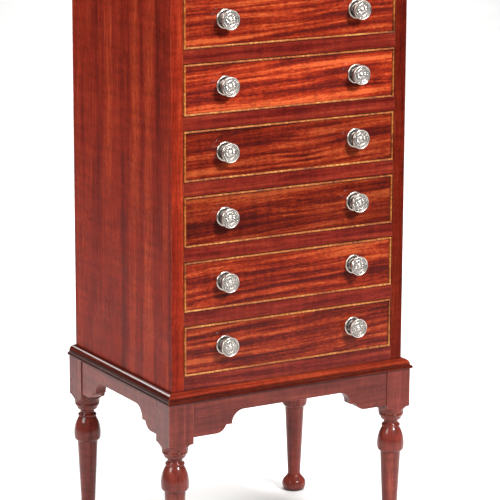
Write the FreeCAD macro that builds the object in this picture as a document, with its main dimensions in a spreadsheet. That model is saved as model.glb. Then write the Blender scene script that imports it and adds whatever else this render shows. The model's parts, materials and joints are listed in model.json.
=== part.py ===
"""A tall mahogany chest of seven equal drawers on a low stand with turned legs.

The origin lies on the floor, under the middle of the chest with its knobs. +Z is up, the
drawers face -Y, and +X is to the right of someone who stands in front of them. The chest and
its stand are made of separate boards, joined as a cabinet maker joins them: stub tenons for
the rails and aprons, mitres for the mouldings and cock beads, dovetails for the drawers.
"""

import FreeCAD, Part
import itertools
import math
import os
import Sketcher

DRAWERS = 7
BACK_PLANKS = 3
TAILS = 3
TAIL_SHARE = 0.3  # half width of a dovetail's root, as a share of the room for one tail
BEAD_SHARE = 0.58  # radius of a turned bead, as a share of its height
HOLLOW_SHARE = 0.72  # radius of a turned hollow, as a share of its height
HANDS = {"left": -1, "right": 1}

doc = FreeCAD.newDocument("chest_of_drawers")
sheet = doc.addObject("Spreadsheet::Sheet", "Sizes")
rows = itertools.count(1)
nodes = {}


# Driving dimensions, in millimetres

SIZES = [
    # the chest
    ("carcass_width", 450, "outside width of the chest"),
    ("carcass_depth", 354, "outside depth of the chest"),
    ("side_thick", 22.5, "side board, seen from the front as a stile"),
    ("top_thick", 18, "top board"),
    ("top_overhang", 11, "top board past the sides and the front"),
    ("top_round", 9, "rounded upper edge of the top board"),
    ("top_under_round", 3, "rounded lower edge of the top board"),
    ("opening_height", 84.6, "height of one drawer opening"),
    ("rail_height", 24, "rail between two drawers"),
    ("bottom_rail_height", 25, "rail under the lowest drawer"),
    ("top_rail_height", 22, "rail over the highest drawer"),
    ("rail_depth", 60, "rails, from front to back"),
    ("rail_tenon_length", 10, "stub tenon into each side"),
    ("rail_tenon_thick", 10, "height of the stub tenon"),
    ("rail_tenon_inset", 8, "shoulder in front of and behind the tenon"),
    ("runner_width", 22, "runner under the edge of a drawer"),
    ("bottom_board_thick", 16, "bottom board of the chest"),
    ("housing_depth", 6, "bottom board let into each side"),
    ("back_thick", 10, "back boards"),
    ("back_rebate", 8, "rebate in each side that holds the back boards"),
    ("back_tongue", 4, "tongue between two back boards"),
    ("stop_width", 40, "drawer stop, along the rail"),
    ("stop_depth", 8, "drawer stop, from front to back"),
    ("stop_height", 6, "drawer stop above the rail"),
    ("stop_spread", 110, "middle of the chest to the middle of a stop"),
    ("stop_gap", 0.3, "drawer front to its stop"),
    # the screws
    ("screw_radius", 2.2, "shank of a screw"),
    ("screw_head_radius", 4.4, "head of a screw"),
    ("screw_head_height", 2.6, "countersunk head"),
    ("screw_bite", 12, "screw into the board that it pulls down"),
    ("screw_edge", 14, "screw from the inner edge of the top frame"),
    ("screw_corner", 31.5, "screw under the chest from the inner corner of that frame"),
    # the drawers
    ("drawer_left_gap", 0.5, "gap at the left of a drawer"),
    ("drawer_right_gap", 2.5, "gap at the right of a drawer"),
    ("drawer_under_gap", 0.3, "drawer above its runners"),
    ("drawer_over_gap", 0.9, "gap over a drawer"),
    ("drawer_back_gap", 10, "space behind a shut drawer"),
    ("front_thick", 20, "drawer front board"),
    ("bead_thick", 3, "cock bead, seen from the front"),
    ("bead_proud", 3, "cock bead in front of the drawer face"),
    ("bead_rebate", 7, "depth of the rebate that holds the cock bead"),
    ("bead_nose_flat", 0.4, "flat left along the nose of the cock bead"),
    ("lining_thick", 9, "drawer sides"),
    ("drawer_back_thick", 8, "drawer back"),
    ("drawer_back_drop", 6, "drawer back below the top of the sides"),
    ("drawer_bottom_thick", 6, "drawer bottom board"),
    ("drawer_bottom_rise", 10, "space under the drawer bottom"),
    ("drawer_groove", 4, "drawer bottom let into the sides and front"),
    ("dovetail_lap", 1, "wood between the front dovetails and the bead's rebate"),
    ("dovetail_flare", 2, "each cheek of a dovetail leans out by this"),
    # the knobs
    ("knob_spacing", 250.6, "between the two knobs of a drawer"),
    ("knob_rise", 3, "knobs above the middle of the drawer"),
    ("plate_radius", 17.2, "back plate of a knob"),
    ("plate_rim", 3.2, "width of the raised rim of the back plate"),
    ("plate_rim_height", 2.4, "rim of the back plate above the wood"),
    ("plate_floor", 0.9, "thickness of the dished middle of the plate"),
    ("head_radius", 17.4, "largest radius of the knob head"),
    ("head_neck_radius", 6.5, "neck of the knob"),
    ("head_neck_length", 3, "straight part of the neck, in front of the plate"),
    ("head_cup_radius", 12, "where the neck's flare meets the head"),
    ("head_flare_length", 6.5, "flare from the neck to the head"),
    ("head_swell_length", 5.6, "rounded back of the head"),
    ("head_rim_length", 4.5, "upright rim of the head"),
    ("head_rim_width", 2, "width of the rim around the knob's face"),
    ("head_rim_round", 1.2, "rounding of that rim"),
    ("head_sink", 1, "face sunk behind its rim"),
    ("button_radius", 2.6, "button in the middle of the face"),
    ("button_height", 2, "button above the sunk face"),
    ("bolt_radius", 2.5, "bolt of a knob"),
    ("bolt_gap", 0.2, "hole around the bolt"),
    ("bolt_end", 6, "bolt past the inside of the drawer front"),
    ("nut_radius", 6, "round nut inside the drawer"),
    ("nut_thick", 4, "height of the nut"),
    # the stand
    ("stand_height", 330.5, "floor to the underside of the chest"),
    ("stand_overhang", 11.5, "leg blocks past the chest at the sides and front"),
    ("stand_back_overhang", 4, "leg blocks past the chest at the back"),
    ("frame_thick", 17.5, "moulded top frame of the stand"),
    ("frame_width", 55, "each length of the top frame, block face to inside"),
    ("frame_round", 9.5, "quarter round along the frame's upper edge"),
    ("frame_fillet", 1.8, "flat between the quarter round and the bead"),
    ("frame_bead", 3.8, "bead past the face of the leg blocks"),
    ("frame_bead_root", 1.2, "foot of the bead past the block face"),
    ("apron_height", 61, "apron at its ends"),
    ("apron_thick", 20, "apron"),
    ("apron_set_back", 1.5, "apron behind the face of the leg blocks"),
    ("apron_flat_front", 44, "low flat of the front apron beside a leg"),
    ("apron_flat_side", 22.5, "low flat of a side apron beside a leg"),
    ("apron_toe", 19.3, "width of the round toe at the end of the low flat"),
    ("apron_step_rise", 13, "low edge up to the step"),
    ("apron_step", 11, "width of the step"),
    ("apron_hollow", 22.7, "radius of the hollow from the step up to the arch"),
    ("apron_tenon_length", 20, "tenon into a leg"),
    ("apron_tenon_thick", 8, "thickness of that tenon"),
    ("apron_tenon_inset", 6, "shoulder above and below that tenon"),
    ("glue_block_length", 60, "glue block inside an apron"),
    ("glue_block_side", 15, "thickness and height of a glue block"),
    ("glue_block_spread", 65, "middle of an apron to the middle of a glue block"),
    # a leg, from the top down
    ("leg_block", 46, "square block of a leg"),
    ("block_length", 69.5, "square part of the block, below the frame"),
    ("shoulder_length", 10, "turned shoulder under the square part"),
    ("shoulder_nick_radius", 29, "where the hollow of the shoulder starts"),
    ("shoulder_nick_drop", 2.5, "shoulder nick below the square part"),
    ("shoulder_hollow", 16, "radius of the shoulder's hollow"),
    ("collar_radius", 22.2, "collar under the shoulder"),
    ("collar_length", 4.5, "height of the collar"),
    ("ring_root_radius", 19.8, "ring bead where it meets the leg"),
    ("ring_length", 6, "height of the ring bead"),
    ("fillet_radius", 17, "foot of the fillet under the ring"),
    ("fillet_length", 6, "height of that fillet"),
    ("undercut_length", 1.5, "underside of the fillet"),
    ("neck_radius", 13.9, "neck where its hollow starts and ends"),
    ("neck_length", 7.5, "height of the neck"),
    ("bead_root_radius", 14.7, "small bead where it meets the leg"),
    ("bead_length", 5.4, "height of the small bead"),
    ("bulb_radius", 23.4, "widest part of the bulb"),
    ("bulb_shoulder_length", 30, "small bead down to the widest part"),
    ("bulb_belly_length", 7, "height of the almost upright part of the bulb"),
    ("bulb_belly_drop", 0.4, "that part's foot inside the widest part"),
    ("bulb_foot_radius", 18.2, "foot of the bulb"),
    ("bulb_under_length", 7, "height of the bulb's rounded underside"),
    ("shank_radius", 17.7, "top of the shank"),
    ("ankle_radius", 11.6, "foot of the shank"),
    ("ankle_hollow", 8, "height of the hollow under the ankle"),
    ("lip_radius", 14.9, "foot of that hollow"),
    ("lip_slope", 3.5, "height of the slope from the hollow to the foot"),
    ("foot_crown", 10, "height of the foot's round above its widest part"),
    ("foot_crown_drop", 4.3, "top of the foot's round inside its widest part"),
    ("foot_radius", 21.9, "widest part of the foot"),
    ("foot_height", 12, "widest part of the foot above the floor"),
    ("foot_pad_drop", 4.4, "flat under the foot inside its widest part"),
    # the legs were turned by hand, so the turning of each starts at its own height
    ("lift_front_left", 0, "turning of the front left leg, which the others are measured from"),
    ("lift_front_right", 4.5, "turning of the front right leg above that"),
    ("lift_back_left", 1.5, "turning of the back left leg above that"),
    ("lift_back_right", 2.5, "turning of the back right leg above that"),
]


class Size:
    """A length: its value now, and the expression that keeps it bound to the sheet."""

    def __init__(self, value, text):
        self.value = value
        self.text = text

    def joined(self, sign, other, value):
        return Size(value, f"({self.text} {sign} {as_size(other).text})")

    def __add__(self, other):
        return self.joined("+", other, self.value + as_size(other).value)

    def __sub__(self, other):
        return self.joined("-", other, self.value - as_size(other).value)

    def __mul__(self, other):
        return self.joined("*", other, self.value * as_size(other).value)

    def __truediv__(self, other):
        return self.joined("/", other, self.value / as_size(other).value)

    def __neg__(self):
        return self * -1


def as_size(amount):
    return amount if isinstance(amount, Size) else Size(amount, str(amount))


def fill_cell(alias, content, meaning):
    row = next(rows)
    sheet.set(f"A{row}", meaning)
    sheet.set(f"B{row}", content)
    sheet.setAlias(f"B{row}", alias)


for alias, value, meaning in SIZES:
    fill_cell(alias, str(value), meaning)
doc.recompute()


def size(alias):
    return Size(float(sheet.get(alias)), f"Sizes.{alias}")


def derive(alias, amount, meaning):
    """Give a worked-out size a cell of its own, so that the pieces can share it."""
    fill_cell(alias, "=" + amount.text.replace("Sizes.", ""), meaning)
    return Size(amount.value, f"Sizes.{alias}")


# Helpers for placing, drawing and joining


def place(thing, corner):
    for axis, amount in zip("xyz", corner):
        thing.setExpression(f".Placement.Base.{axis}", as_size(amount).text)


def board(label, corner, extent):
    """A plain board from its low corner and its extent along X, Y and Z."""
    piece = doc.addObject("Part::Box", label)
    for side, amount in zip(("Length", "Width", "Height"), extent):
        piece.setExpression(side, as_size(amount).text)
    place(piece, corner)
    return piece


def group(label, pieces):
    bundle = doc.addObject("Part::Compound", label)
    bundle.Links = pieces
    return bundle


def cut(label, base, tool):
    result = doc.addObject("Part::Cut", label)
    result.Base = base
    result.Tool = tool
    return result


def fuse(label, pieces):
    result = doc.addObject("Part::MultiFuse", label)
    result.Shapes = pieces
    result.Refine = True
    return result


def node(label, piece):
    """Keep a finished piece under the name of its file."""
    piece.Label = label
    nodes[label] = piece


def new_body(label, corner):
    body = doc.addObject("PartDesign::Body", label)
    place(body, corner)
    return body


def arc_between(start, end, radius, turn):
    """The smaller arc from start to end: turn is 1 to bend left on the way, -1 to bend right."""
    chord = end - start
    rise = math.sqrt(max(radius * radius - chord.Length * chord.Length / 4, 0))
    left = FreeCAD.Vector(-chord.y, chord.x, 0).normalize()
    centre = (start + end) * 0.5 + left * rise * turn
    first, last = (start, end) if turn > 0 else (end, start)
    angles = [math.atan2(point.y - centre.y, point.x - centre.x) for point in (first, last)]
    return Part.ArcOfCircle(Part.Circle(centre, FreeCAD.Vector(0, 0, 1), radius), *angles)


def pin_point(sketch, geometry, end, corner):
    """Hold one end of a line or arc at a place given by two sizes."""
    for kind, axis, amount in zip(("DistanceX", "DistanceY"), (-2, -1), corner):
        held = as_size(amount)
        if held.text == "0":
            sketch.addConstraint(Sketcher.Constraint("PointOnObject", geometry, end, axis))
        else:
            datum = Sketcher.Constraint(kind, -1, 1, geometry, end, held.value)
            index = sketch.addConstraint(datum)
            sketch.setExpression(f"Constraints[{index}]", held.text)


def add_edge(sketch, start, end, bend):
    """A line, or an arc where bend holds a radius and a turn. True if it runs start to end."""
    if not bend:
        sketch.addGeometry(Part.LineSegment(start, end), False)
        return True
    radius, turn = as_size(bend[0]), bend[1]
    arc = sketch.addGeometry(arc_between(start, end, radius.value, turn), False)
    index = sketch.addConstraint(Sketcher.Constraint("Radius", arc, radius.value))
    sketch.setExpression(f"Constraints[{index}]", radius.text)
    return turn > 0


def draw_loop(sketch, corners):
    """A closed outline. A corner that also has a radius and a turn is reached by an arc."""
    count = len(corners)
    first = sketch.GeometryCount
    points = [FreeCAD.Vector(as_size(c[0]).value, as_size(c[1]).value, 0) for c in corners]
    forward = []
    for index in range(count):
        following = (index + 1) % count
        forward.append(add_edge(sketch, points[index], points[following], corners[following][2:]))
    for index in range(count):
        following = (index + 1) % count
        end_here = 2 if forward[index] else 1
        start_there = 1 if forward[following] else 2
        places = (first + index, end_here, first + following, start_there)
        sketch.addConstraint(Sketcher.Constraint("Coincident", *places))
        pin_point(sketch, first + following, start_there, corners[following][:2])


def new_sketch(body, plane, *loops):
    sketch = body.newObject("Sketcher::SketchObject", f"{body.Name}_sketch")
    support = [part for part in body.Origin.OriginFeatures if part.Role == f"{plane}_Plane"]
    sketch.AttachmentSupport = (support[0], [""])
    sketch.MapMode = "FlatFace"
    for corners in loops:
        draw_loop(sketch, corners)
    return sketch


def pad(body, sketch, length, side_type="One side", reverse=False):
    feature = body.newObject("PartDesign::Pad", f"{body.Name}_pad")
    feature.Profile = sketch
    feature.SideType = side_type
    feature.Reversed = reverse
    feature.setExpression("Length", as_size(length).text)
    return feature


def pocket_through(body, sketch):
    feature = body.newObject("PartDesign::Pocket", f"{body.Name}_pocket")
    feature.Profile = sketch
    feature.SideType = "Symmetric"
    feature.Type = "ThroughAll"
    return feature


def turn_on_lathe(body, kind, sketch):
    """Spin a profile round the upright axis of its sketch: a Revolution adds, a Groove cuts."""
    feature = body.newObject(f"PartDesign::{kind}", f"{body.Name}_{kind.lower()}")
    feature.Profile = sketch
    feature.ReferenceAxis = (sketch, ["V_Axis"])
    feature.Angle = 360
    return feature


def round_edges(body, base, radius, chosen):
    """Round every edge of the base whose end points pass the test."""
    doc.recompute()
    names = []
    for number, edge in enumerate(base.Shape.Edges, start=1):
        if chosen([vertex.Point for vertex in edge.Vertexes]):
            names.append(f"Edge{number}")
    feature = body.newObject("PartDesign::Fillet", f"{body.Name}_round")
    feature.Base = (base, names)
    feature.setExpression("Radius", as_size(radius).text)
    return feature


def rectangle(left, low, right, high):
    return [(left, low), (right, low), (right, high), (left, high)]


def tangent_radius(off, along):
    """Radius of an arc that starts straight along, and ends that far along and that far off."""
    return (off * off + along * along) / (off * 2)


def near(one, other):
    return abs(one - other) < 0.001


# Shared heights, widths and planes, worked out from the driving dimensions

WIDTH = size("carcass_width")
DEPTH = size("carcass_depth")
SIDE = size("side_thick")
RAIL_HEIGHT = size("rail_height")
OPENING_HEIGHT = size("opening_height")
RAIL_DEPTH = size("rail_depth")
FRONT_THICK = size("front_thick")
LINING = size("lining_thick")
BLOCK = size("leg_block")
STAND_HEIGHT = size("stand_height")
FRAME_THICK = size("frame_thick")
FRAME_WIDTH = size("frame_width")
APRON_HEIGHT = size("apron_height")
APRON_THICK = size("apron_thick")

neck_reach = derive(
    "neck_reach", size("plate_floor") + size("head_neck_length"), "neck, in front of the wood"
)
flare_reach = derive("flare_reach", neck_reach + size("head_flare_length"), "end of the flare")
swell_reach = derive("swell_reach", flare_reach + size("head_swell_length"), "start of the rim")
rim_reach = derive("rim_reach", swell_reach + size("head_rim_length"), "rim round the face")
face_reach = derive("face_reach", rim_reach - size("head_sink"), "sunk face of a knob's head")
knob_reach = derive("knob_reach", face_reach + size("button_height"), "tip of a knob's button")
front_y = derive(
    "front_y", (knob_reach - DEPTH - size("stand_back_overhang")) / 2, "front of the chest"
)
back_y = derive("back_y", front_y + DEPTH, "back of the chest")
opening_width = derive("opening_width", WIDTH - SIDE * 2, "between the chest's sides")
half_opening = derive("half_opening", opening_width / 2, "middle of the chest to a side")
pitch = derive("pitch", OPENING_HEIGHT + RAIL_HEIGHT, "one drawer to the next")
first_opening_z = derive(
    "first_opening_z", STAND_HEIGHT + size("bottom_rail_height"), "foot of the lowest opening"
)
top_rail_z = derive(
    "top_rail_z", first_opening_z + pitch * DRAWERS - RAIL_HEIGHT, "foot of the top rail"
)
top_board_z = derive("top_board_z", top_rail_z + size("top_rail_height"), "foot of the top board")
side_height = derive("side_height", top_board_z - STAND_HEIGHT, "height of the chest's sides")
inner_back_y = derive("inner_back_y", back_y - size("back_thick"), "face of the back boards")
rail_back_y = derive("rail_back_y", front_y + RAIL_DEPTH, "back edge of the rails")
runner_length = derive("runner_length", inner_back_y - rail_back_y, "rail to the back boards")

stand_front_y = derive("stand_front_y", front_y - size("stand_overhang"), "front leg blocks")
stand_back_y = derive("stand_back_y", back_y + size("stand_back_overhang"), "back leg blocks")
stand_depth = derive("stand_depth", stand_back_y - stand_front_y, "stand, front to back")
stand_half = derive("stand_half", WIDTH / 2 + size("stand_overhang"), "half the stand's width")
frame_under_z = derive("frame_under_z", STAND_HEIGHT - FRAME_THICK, "foot of the top frame")
apron_inside = derive("apron_inside", size("apron_set_back") + APRON_THICK, "block to inside")


def opening_z(level):
    return first_opening_z + pitch * level


# Screws: four hold the chest down on its stand, four hold the top board down on the chest


def upward_screw(label, corner, through):
    """A countersunk screw, head down, that goes through one board and bites into the next."""
    body = new_body(label, corner)
    shank = size("screw_radius")
    tip = through + size("screw_bite")
    outline = [
        (0, 0),
        (size("screw_head_radius"), 0),
        (shank, size("screw_head_height")),
        (shank, tip),
        (0, tip),
    ]
    turn_on_lathe(body, "Revolution", new_sketch(body, "XZ", outline))
    return body


def all_screws():
    inset = FRAME_WIDTH - size("screw_edge")
    ends = {"front": stand_front_y + inset, "back": stand_back_y - inset}
    low_x = stand_half - FRAME_WIDTH - size("screw_corner")
    high_x = half_opening - size("runner_width") / 2
    through_top_rail = size("top_rail_height")
    pieces = []
    for end, y in ends.items():
        for name, hand in HANDS.items():
            low = (low_x * hand, y, frame_under_z)
            high = (high_x * hand, y, top_rail_z)
            pieces.append(upward_screw(f"low_screw_{end}_{name}", low, FRAME_THICK))
            pieces.append(upward_screw(f"high_screw_{end}_{name}", high, through_top_rail))
    return group("screw_set", pieces)


screws = all_screws()


# The chest: rails, runners, stops, bottom, sides, back and top


def rail(label, low_z, height):
    """A rail between the sides, with a stub tenon at each end."""
    tenon = size("rail_tenon_length")
    inset = size("rail_tenon_inset")
    thick = size("rail_tenon_thick")
    bar = board(
        f"{label}_bar", (-half_opening, front_y, low_z), (opening_width, RAIL_DEPTH, height)
    )
    tenons = board(
        f"{label}_tenons",
        (-half_opening - tenon, front_y + inset, low_z + (as_size(height) - thick) / 2),
        (opening_width + tenon * 2, RAIL_DEPTH - inset * 2, thick),
    )
    return fuse(label, [bar, tenons])


def runner_pair(level, low_z, height):
    """The strips behind a rail that carry one drawer and steady the one below."""
    width = size("runner_width")
    extent = (width, runner_length, height)
    left = board(f"runner_left_{level}", (-half_opening, rail_back_y, low_z), extent)
    right = board(f"runner_right_{level}", (half_opening - width, rail_back_y, low_z), extent)
    return [left, right]


def stop_pair(level):
    """Two small blocks on a rail that the drawer front meets when it is shut."""
    stop_y = front_y + FRONT_THICK + size("stop_gap")
    extent = (size("stop_width"), size("stop_depth"), size("stop_height"))
    pair = []
    for name, hand in HANDS.items():
        low_x = size("stop_spread") * hand - size("stop_width") / 2
        pair.append(board(f"stop_{name}_{level}", (low_x, stop_y, opening_z(level)), extent))
    return pair


def chest_side(label, hand, let_in):
    """A side board, rebated for the back and mortised for the rails and the bottom board."""
    rebate = size("back_rebate")
    low_x = -half_opening - SIDE if hand < 0 else half_opening
    rebate_x = -half_opening - rebate if hand < 0 else half_opening
    blank = board(f"{label}_blank", (low_x, front_y, STAND_HEIGHT), (SIDE, DEPTH, side_height))
    waste = board(
        f"{label}_rebate",
        (rebate_x, inner_back_y, STAND_HEIGHT),
        (rebate, size("back_thick"), side_height),
    )
    return cut(f"{label}_cut", blank, group(f"{label}_waste", [waste, let_in]))


def back_planks():
    """Upright boards in the rebates of the sides, joined by tongues and grooves."""
    tongue = size("back_tongue")
    thick = size("back_thick")
    width = derive(
        "plank_width", (opening_width + size("back_rebate") * 2) / BACK_PLANKS, "one back board"
    )
    planks = []
    tongue_before = None
    for index in range(BACK_PLANKS):
        low_x = width * (index - BACK_PLANKS / 2)
        plank = board(
            f"back_plank_{index}", (low_x, inner_back_y, STAND_HEIGHT), (width, thick, side_height)
        )
        if tongue_before:
            plank = cut(f"back_grooved_{index}", plank, tongue_before)
        if index < BACK_PLANKS - 1:
            tongue_before = board(
                f"back_tongue_{index}",
                (low_x + width, inner_back_y + (thick - tongue) / 2, STAND_HEIGHT),
                (tongue, tongue, side_height),
            )
            plank = fuse(f"back_tongued_{index}", [plank, tongue_before])
        planks.append(plank)
    return group("back_plank_set", planks)


def moulded_top():
    """The top board, with its front and end edges rounded above and below."""
    overhang = size("top_overhang")
    thick = size("top_thick")
    half = WIDTH / 2 + overhang
    body = new_body("top_body", (0, 0, top_board_z))
    outline = rectangle(-half, front_y - overhang, half, back_y)
    slab = pad(body, new_sketch(body, "XY", outline), thick)

    def edge_at(height):
        def chosen(ends):
            at_back = all(near(point.y, back_y.value) for point in ends)
            return not at_back and all(near(point.z, height) for point in ends)

        return chosen

    upper = round_edges(body, slab, size("top_round"), edge_at(thick.value))
    round_edges(body, upper, size("top_under_round"), edge_at(0))
    return body


def build_chest():
    low_rail = rail("low_rail", STAND_HEIGHT, size("bottom_rail_height"))
    high_rail = rail("high_rail", top_rail_z, size("top_rail_height"))
    middle_rails = []
    for level in range(1, DRAWERS):
        middle_rails.append(rail(f"rail_{level}", opening_z(level) - RAIL_HEIGHT, RAIL_HEIGHT))
    housed_width = opening_width + size("housing_depth") * 2
    bottom = board(
        "bottom_blank",
        (housed_width / -2, rail_back_y, STAND_HEIGHT),
        (housed_width, runner_length, size("bottom_board_thick")),
    )
    let_in = group("let_in", [low_rail, high_rail, bottom, *middle_rails])
    for name, hand in HANDS.items():
        node(f"side_{name}", chest_side(f"{name}_side", hand, let_in))
    node("top_board", cut("top_bored", moulded_top(), screws))
    node("bottom_board", cut("bottom_bored", bottom, screws))
    node("back_boards", back_planks())
    node("rail_top", cut("high_rail_bored", high_rail, screws))
    node("rail_bottom", cut("low_rail_bored", low_rail, screws))
    node("drawer_rails", group("middle_rail_set", middle_rails))


def build_runners_and_stops():
    lowest_z = STAND_HEIGHT + size("bottom_board_thick")
    lowest_height = size("bottom_rail_height") - size("bottom_board_thick")
    strips = runner_pair(0, lowest_z, lowest_height)
    for level in range(1, DRAWERS):
        strips += runner_pair(level, opening_z(level) - RAIL_HEIGHT, RAIL_HEIGHT)
    node("drawer_runners", group("runner_set", strips))
    kickers = runner_pair(DRAWERS, top_rail_z, size("top_rail_height"))
    node("top_kickers", cut("kickers_bored", group("kicker_set", kickers), screws))
    stops = [stop for level in range(DRAWERS) for stop in stop_pair(level)]
    node("drawer_stops", group("stop_set", stops))


build_chest()
build_runners_and_stops()


# The drawers

drawer_gaps = size("drawer_left_gap") + size("drawer_right_gap")
drawer_width = derive("drawer_width", opening_width - drawer_gaps, "outside width of a drawer")
drawer_half = derive("drawer_half", drawer_width / 2, "half that width")
drawer_height = derive(
    "drawer_height",
    OPENING_HEIGHT - size("drawer_under_gap") - size("drawer_over_gap"),
    "drawer front and sides",
)
drawer_x = derive(
    "drawer_x", (size("drawer_left_gap") - size("drawer_right_gap")) / 2, "middle of every drawer"
)
lining_y = derive("lining_y", front_y + FRONT_THICK, "inside of the drawer front")
drawer_end_y = derive("drawer_end_y", inner_back_y - size("drawer_back_gap"), "back end of a drawer")
drawer_back_y = derive(
    "drawer_back_y", drawer_end_y - size("drawer_back_thick"), "inside of a drawer's back"
)
back_foot = derive(
    "back_foot", size("drawer_bottom_rise") + size("drawer_bottom_thick"), "foot of that back"
)
back_head = derive("back_head", drawer_height - size("drawer_back_drop"), "top of that back")
rebate_y = derive("rebate_y", front_y + size("bead_rebate"), "bottom of the bead's rebate")
lap_y = derive("lap_y", rebate_y + size("dovetail_lap"), "ends of the tails in the front board")


def dovetails(low, high, root_y, tip_y):
    """The zigzag of a row of dovetails between two heights."""
    step = (high - low) / TAILS
    half_root = step * TAIL_SHARE
    half_tip = half_root + size("dovetail_flare")
    corners = []
    for index in range(TAILS):
        middle = low + step * (index + 0.5)
        corners.append((root_y, middle - half_root))
        corners.append((tip_y, middle - half_tip))
        corners.append((tip_y, middle + half_tip))
        corners.append((root_y, middle + half_root))
    return corners


def drawer_side(label, low_x, low_z, bottom):
    """A side with lapped tails into the front, through tails into the back, and a groove."""
    body = new_body(f"{label}_body", (low_x, 0, low_z))
    front_tails = dovetails(as_size(0), drawer_height, lining_y, lap_y)
    back_tails = dovetails(back_foot, back_head, drawer_back_y, drawer_end_y)
    outline = [
        (lining_y, 0),
        *front_tails,
        (lining_y, drawer_height),
        (drawer_end_y, drawer_height),
        (drawer_end_y, back_head),
        (drawer_back_y, back_head),
        *reversed(back_tails),
        (drawer_back_y, back_foot),
        (drawer_end_y, back_foot),
        (drawer_end_y, 0),
    ]
    pad(body, new_sketch(body, "YZ", outline), LINING)
    return cut(f"{label}_grooved", body, bottom)


def drawer_front(label, low_z, sockets_for):
    """The front board: rebated all round for the bead, with sockets, groove and bolt holes."""
    bead = size("bead_thick")
    rebate = size("bead_rebate")
    body = new_body(f"{label}_body", (drawer_x, rebate_y, low_z))
    full = rectangle(-drawer_half, 0, drawer_half, drawer_height)
    inner = rectangle(-drawer_half + bead, bead, drawer_half - bead, drawer_height - bead)
    pad(body, new_sketch(body, "XZ", full), FRONT_THICK - rebate, reverse=True)
    pad(body, new_sketch(body, "XZ", inner), rebate)
    return cut(f"{label}_cut", body, group(f"{label}_waste", sockets_for))


def cock_beads(label, low_z):
    """Four mitred lengths of bead round a drawer front, each with a rounded nose."""
    bead = size("bead_thick")
    reach = size("bead_rebate") + size("bead_proud")
    outer = drawer_half
    inner = drawer_half - bead
    high = drawer_height
    inner_high = drawer_height - bead
    outlines = {
        "low": [(-outer, 0), (outer, 0), (inner, bead), (-inner, bead)],
        "high": [(-inner, inner_high), (inner, inner_high), (outer, high), (-outer, high)],
        "left": [(-outer, 0), (-inner, bead), (-inner, inner_high), (-outer, high)],
        "right": [(outer, 0), (outer, high), (inner, inner_high), (inner, bead)],
    }

    def on_the_nose(ends):
        in_front = all(near(point.y, -reach.value) for point in ends)
        level = near(ends[0].z, ends[-1].z)
        upright = near(ends[0].x, ends[-1].x)
        return in_front and (level or upright)

    sticks = []
    for name, outline in outlines.items():
        body = new_body(f"{label}_{name}", (drawer_x, rebate_y, low_z))
        stick = pad(body, new_sketch(body, "XZ", outline), reach)
        round_edges(body, stick, (bead - size("bead_nose_flat")) / 2, on_the_nose)
        sticks.append(body)
    return group(f"{label}_set", sticks)


def knob_plate(label, corner):
    """The dished back plate: a rounded rim round a thin floor with a hole for the bolt."""
    body = new_body(label, corner)
    hole = size("bolt_radius") + size("bolt_gap")
    outer = size("plate_radius")
    rim = size("plate_rim")
    floor = size("plate_floor")
    height = size("plate_rim_height")
    round_radius = tangent_radius(rim / 2, height - floor)
    outline = [
        (hole, 0),
        (outer, 0),
        (outer, -floor),
        (outer - rim / 2, -height, round_radius, -1),
        (outer - rim, -floor, round_radius, -1),
        (hole, -floor),
    ]
    turn_on_lathe(body, "Revolution", new_sketch(body, "XY", outline))
    return body


def knob_head(label, corner):
    """The head with its bolt, neck, flaring cup, upright rim and sunk face with a button."""
    body = new_body(label, corner)
    floor = size("plate_floor")
    bolt = size("bolt_radius")
    bolt_tip = FRONT_THICK + size("bolt_end")
    neck = size("head_neck_radius")
    cup = size("head_cup_radius")
    widest = size("head_radius")
    rim_inside = widest - size("head_rim_width")
    rim_round = size("head_rim_round")
    button = size("button_radius")
    dome = size("button_height") / 2
    outline = [
        (0, bolt_tip),
        (bolt, bolt_tip),
        (bolt, -floor),
        (neck, -floor),
        (neck, -neck_reach),
        (cup, -flare_reach, tangent_radius(cup - neck, size("head_flare_length")), 1),
        (widest, -swell_reach, tangent_radius(widest - cup, size("head_swell_length")), -1),
        (widest, rim_round - rim_reach),
        (widest - rim_round, -rim_reach, rim_round, -1),
        (rim_inside, -rim_reach),
        (rim_inside, -face_reach),
        (button, -face_reach),
        (button, -face_reach - dome),
        (0, -knob_reach, tangent_radius(dome, button), -1),
    ]
    turn_on_lathe(body, "Revolution", new_sketch(body, "XY", outline))
    return body


def knob_nut(label, corner):
    """The round nut on the bolt, inside the drawer front."""
    body = new_body(label, corner)
    hole = size("bolt_radius") + size("bolt_gap") / 2
    outline = rectangle(hole, FRONT_THICK, size("nut_radius"), FRONT_THICK + size("nut_thick"))
    turn_on_lathe(body, "Revolution", new_sketch(body, "XY", outline))
    return body


def bolt_hole(label, corner):
    """The waste from the hole that a knob's bolt goes through."""
    body = new_body(label, corner)
    outline = rectangle(0, 0, size("bolt_radius") + size("bolt_gap"), FRONT_THICK)
    turn_on_lathe(body, "Revolution", new_sketch(body, "XY", outline))
    return body


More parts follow.
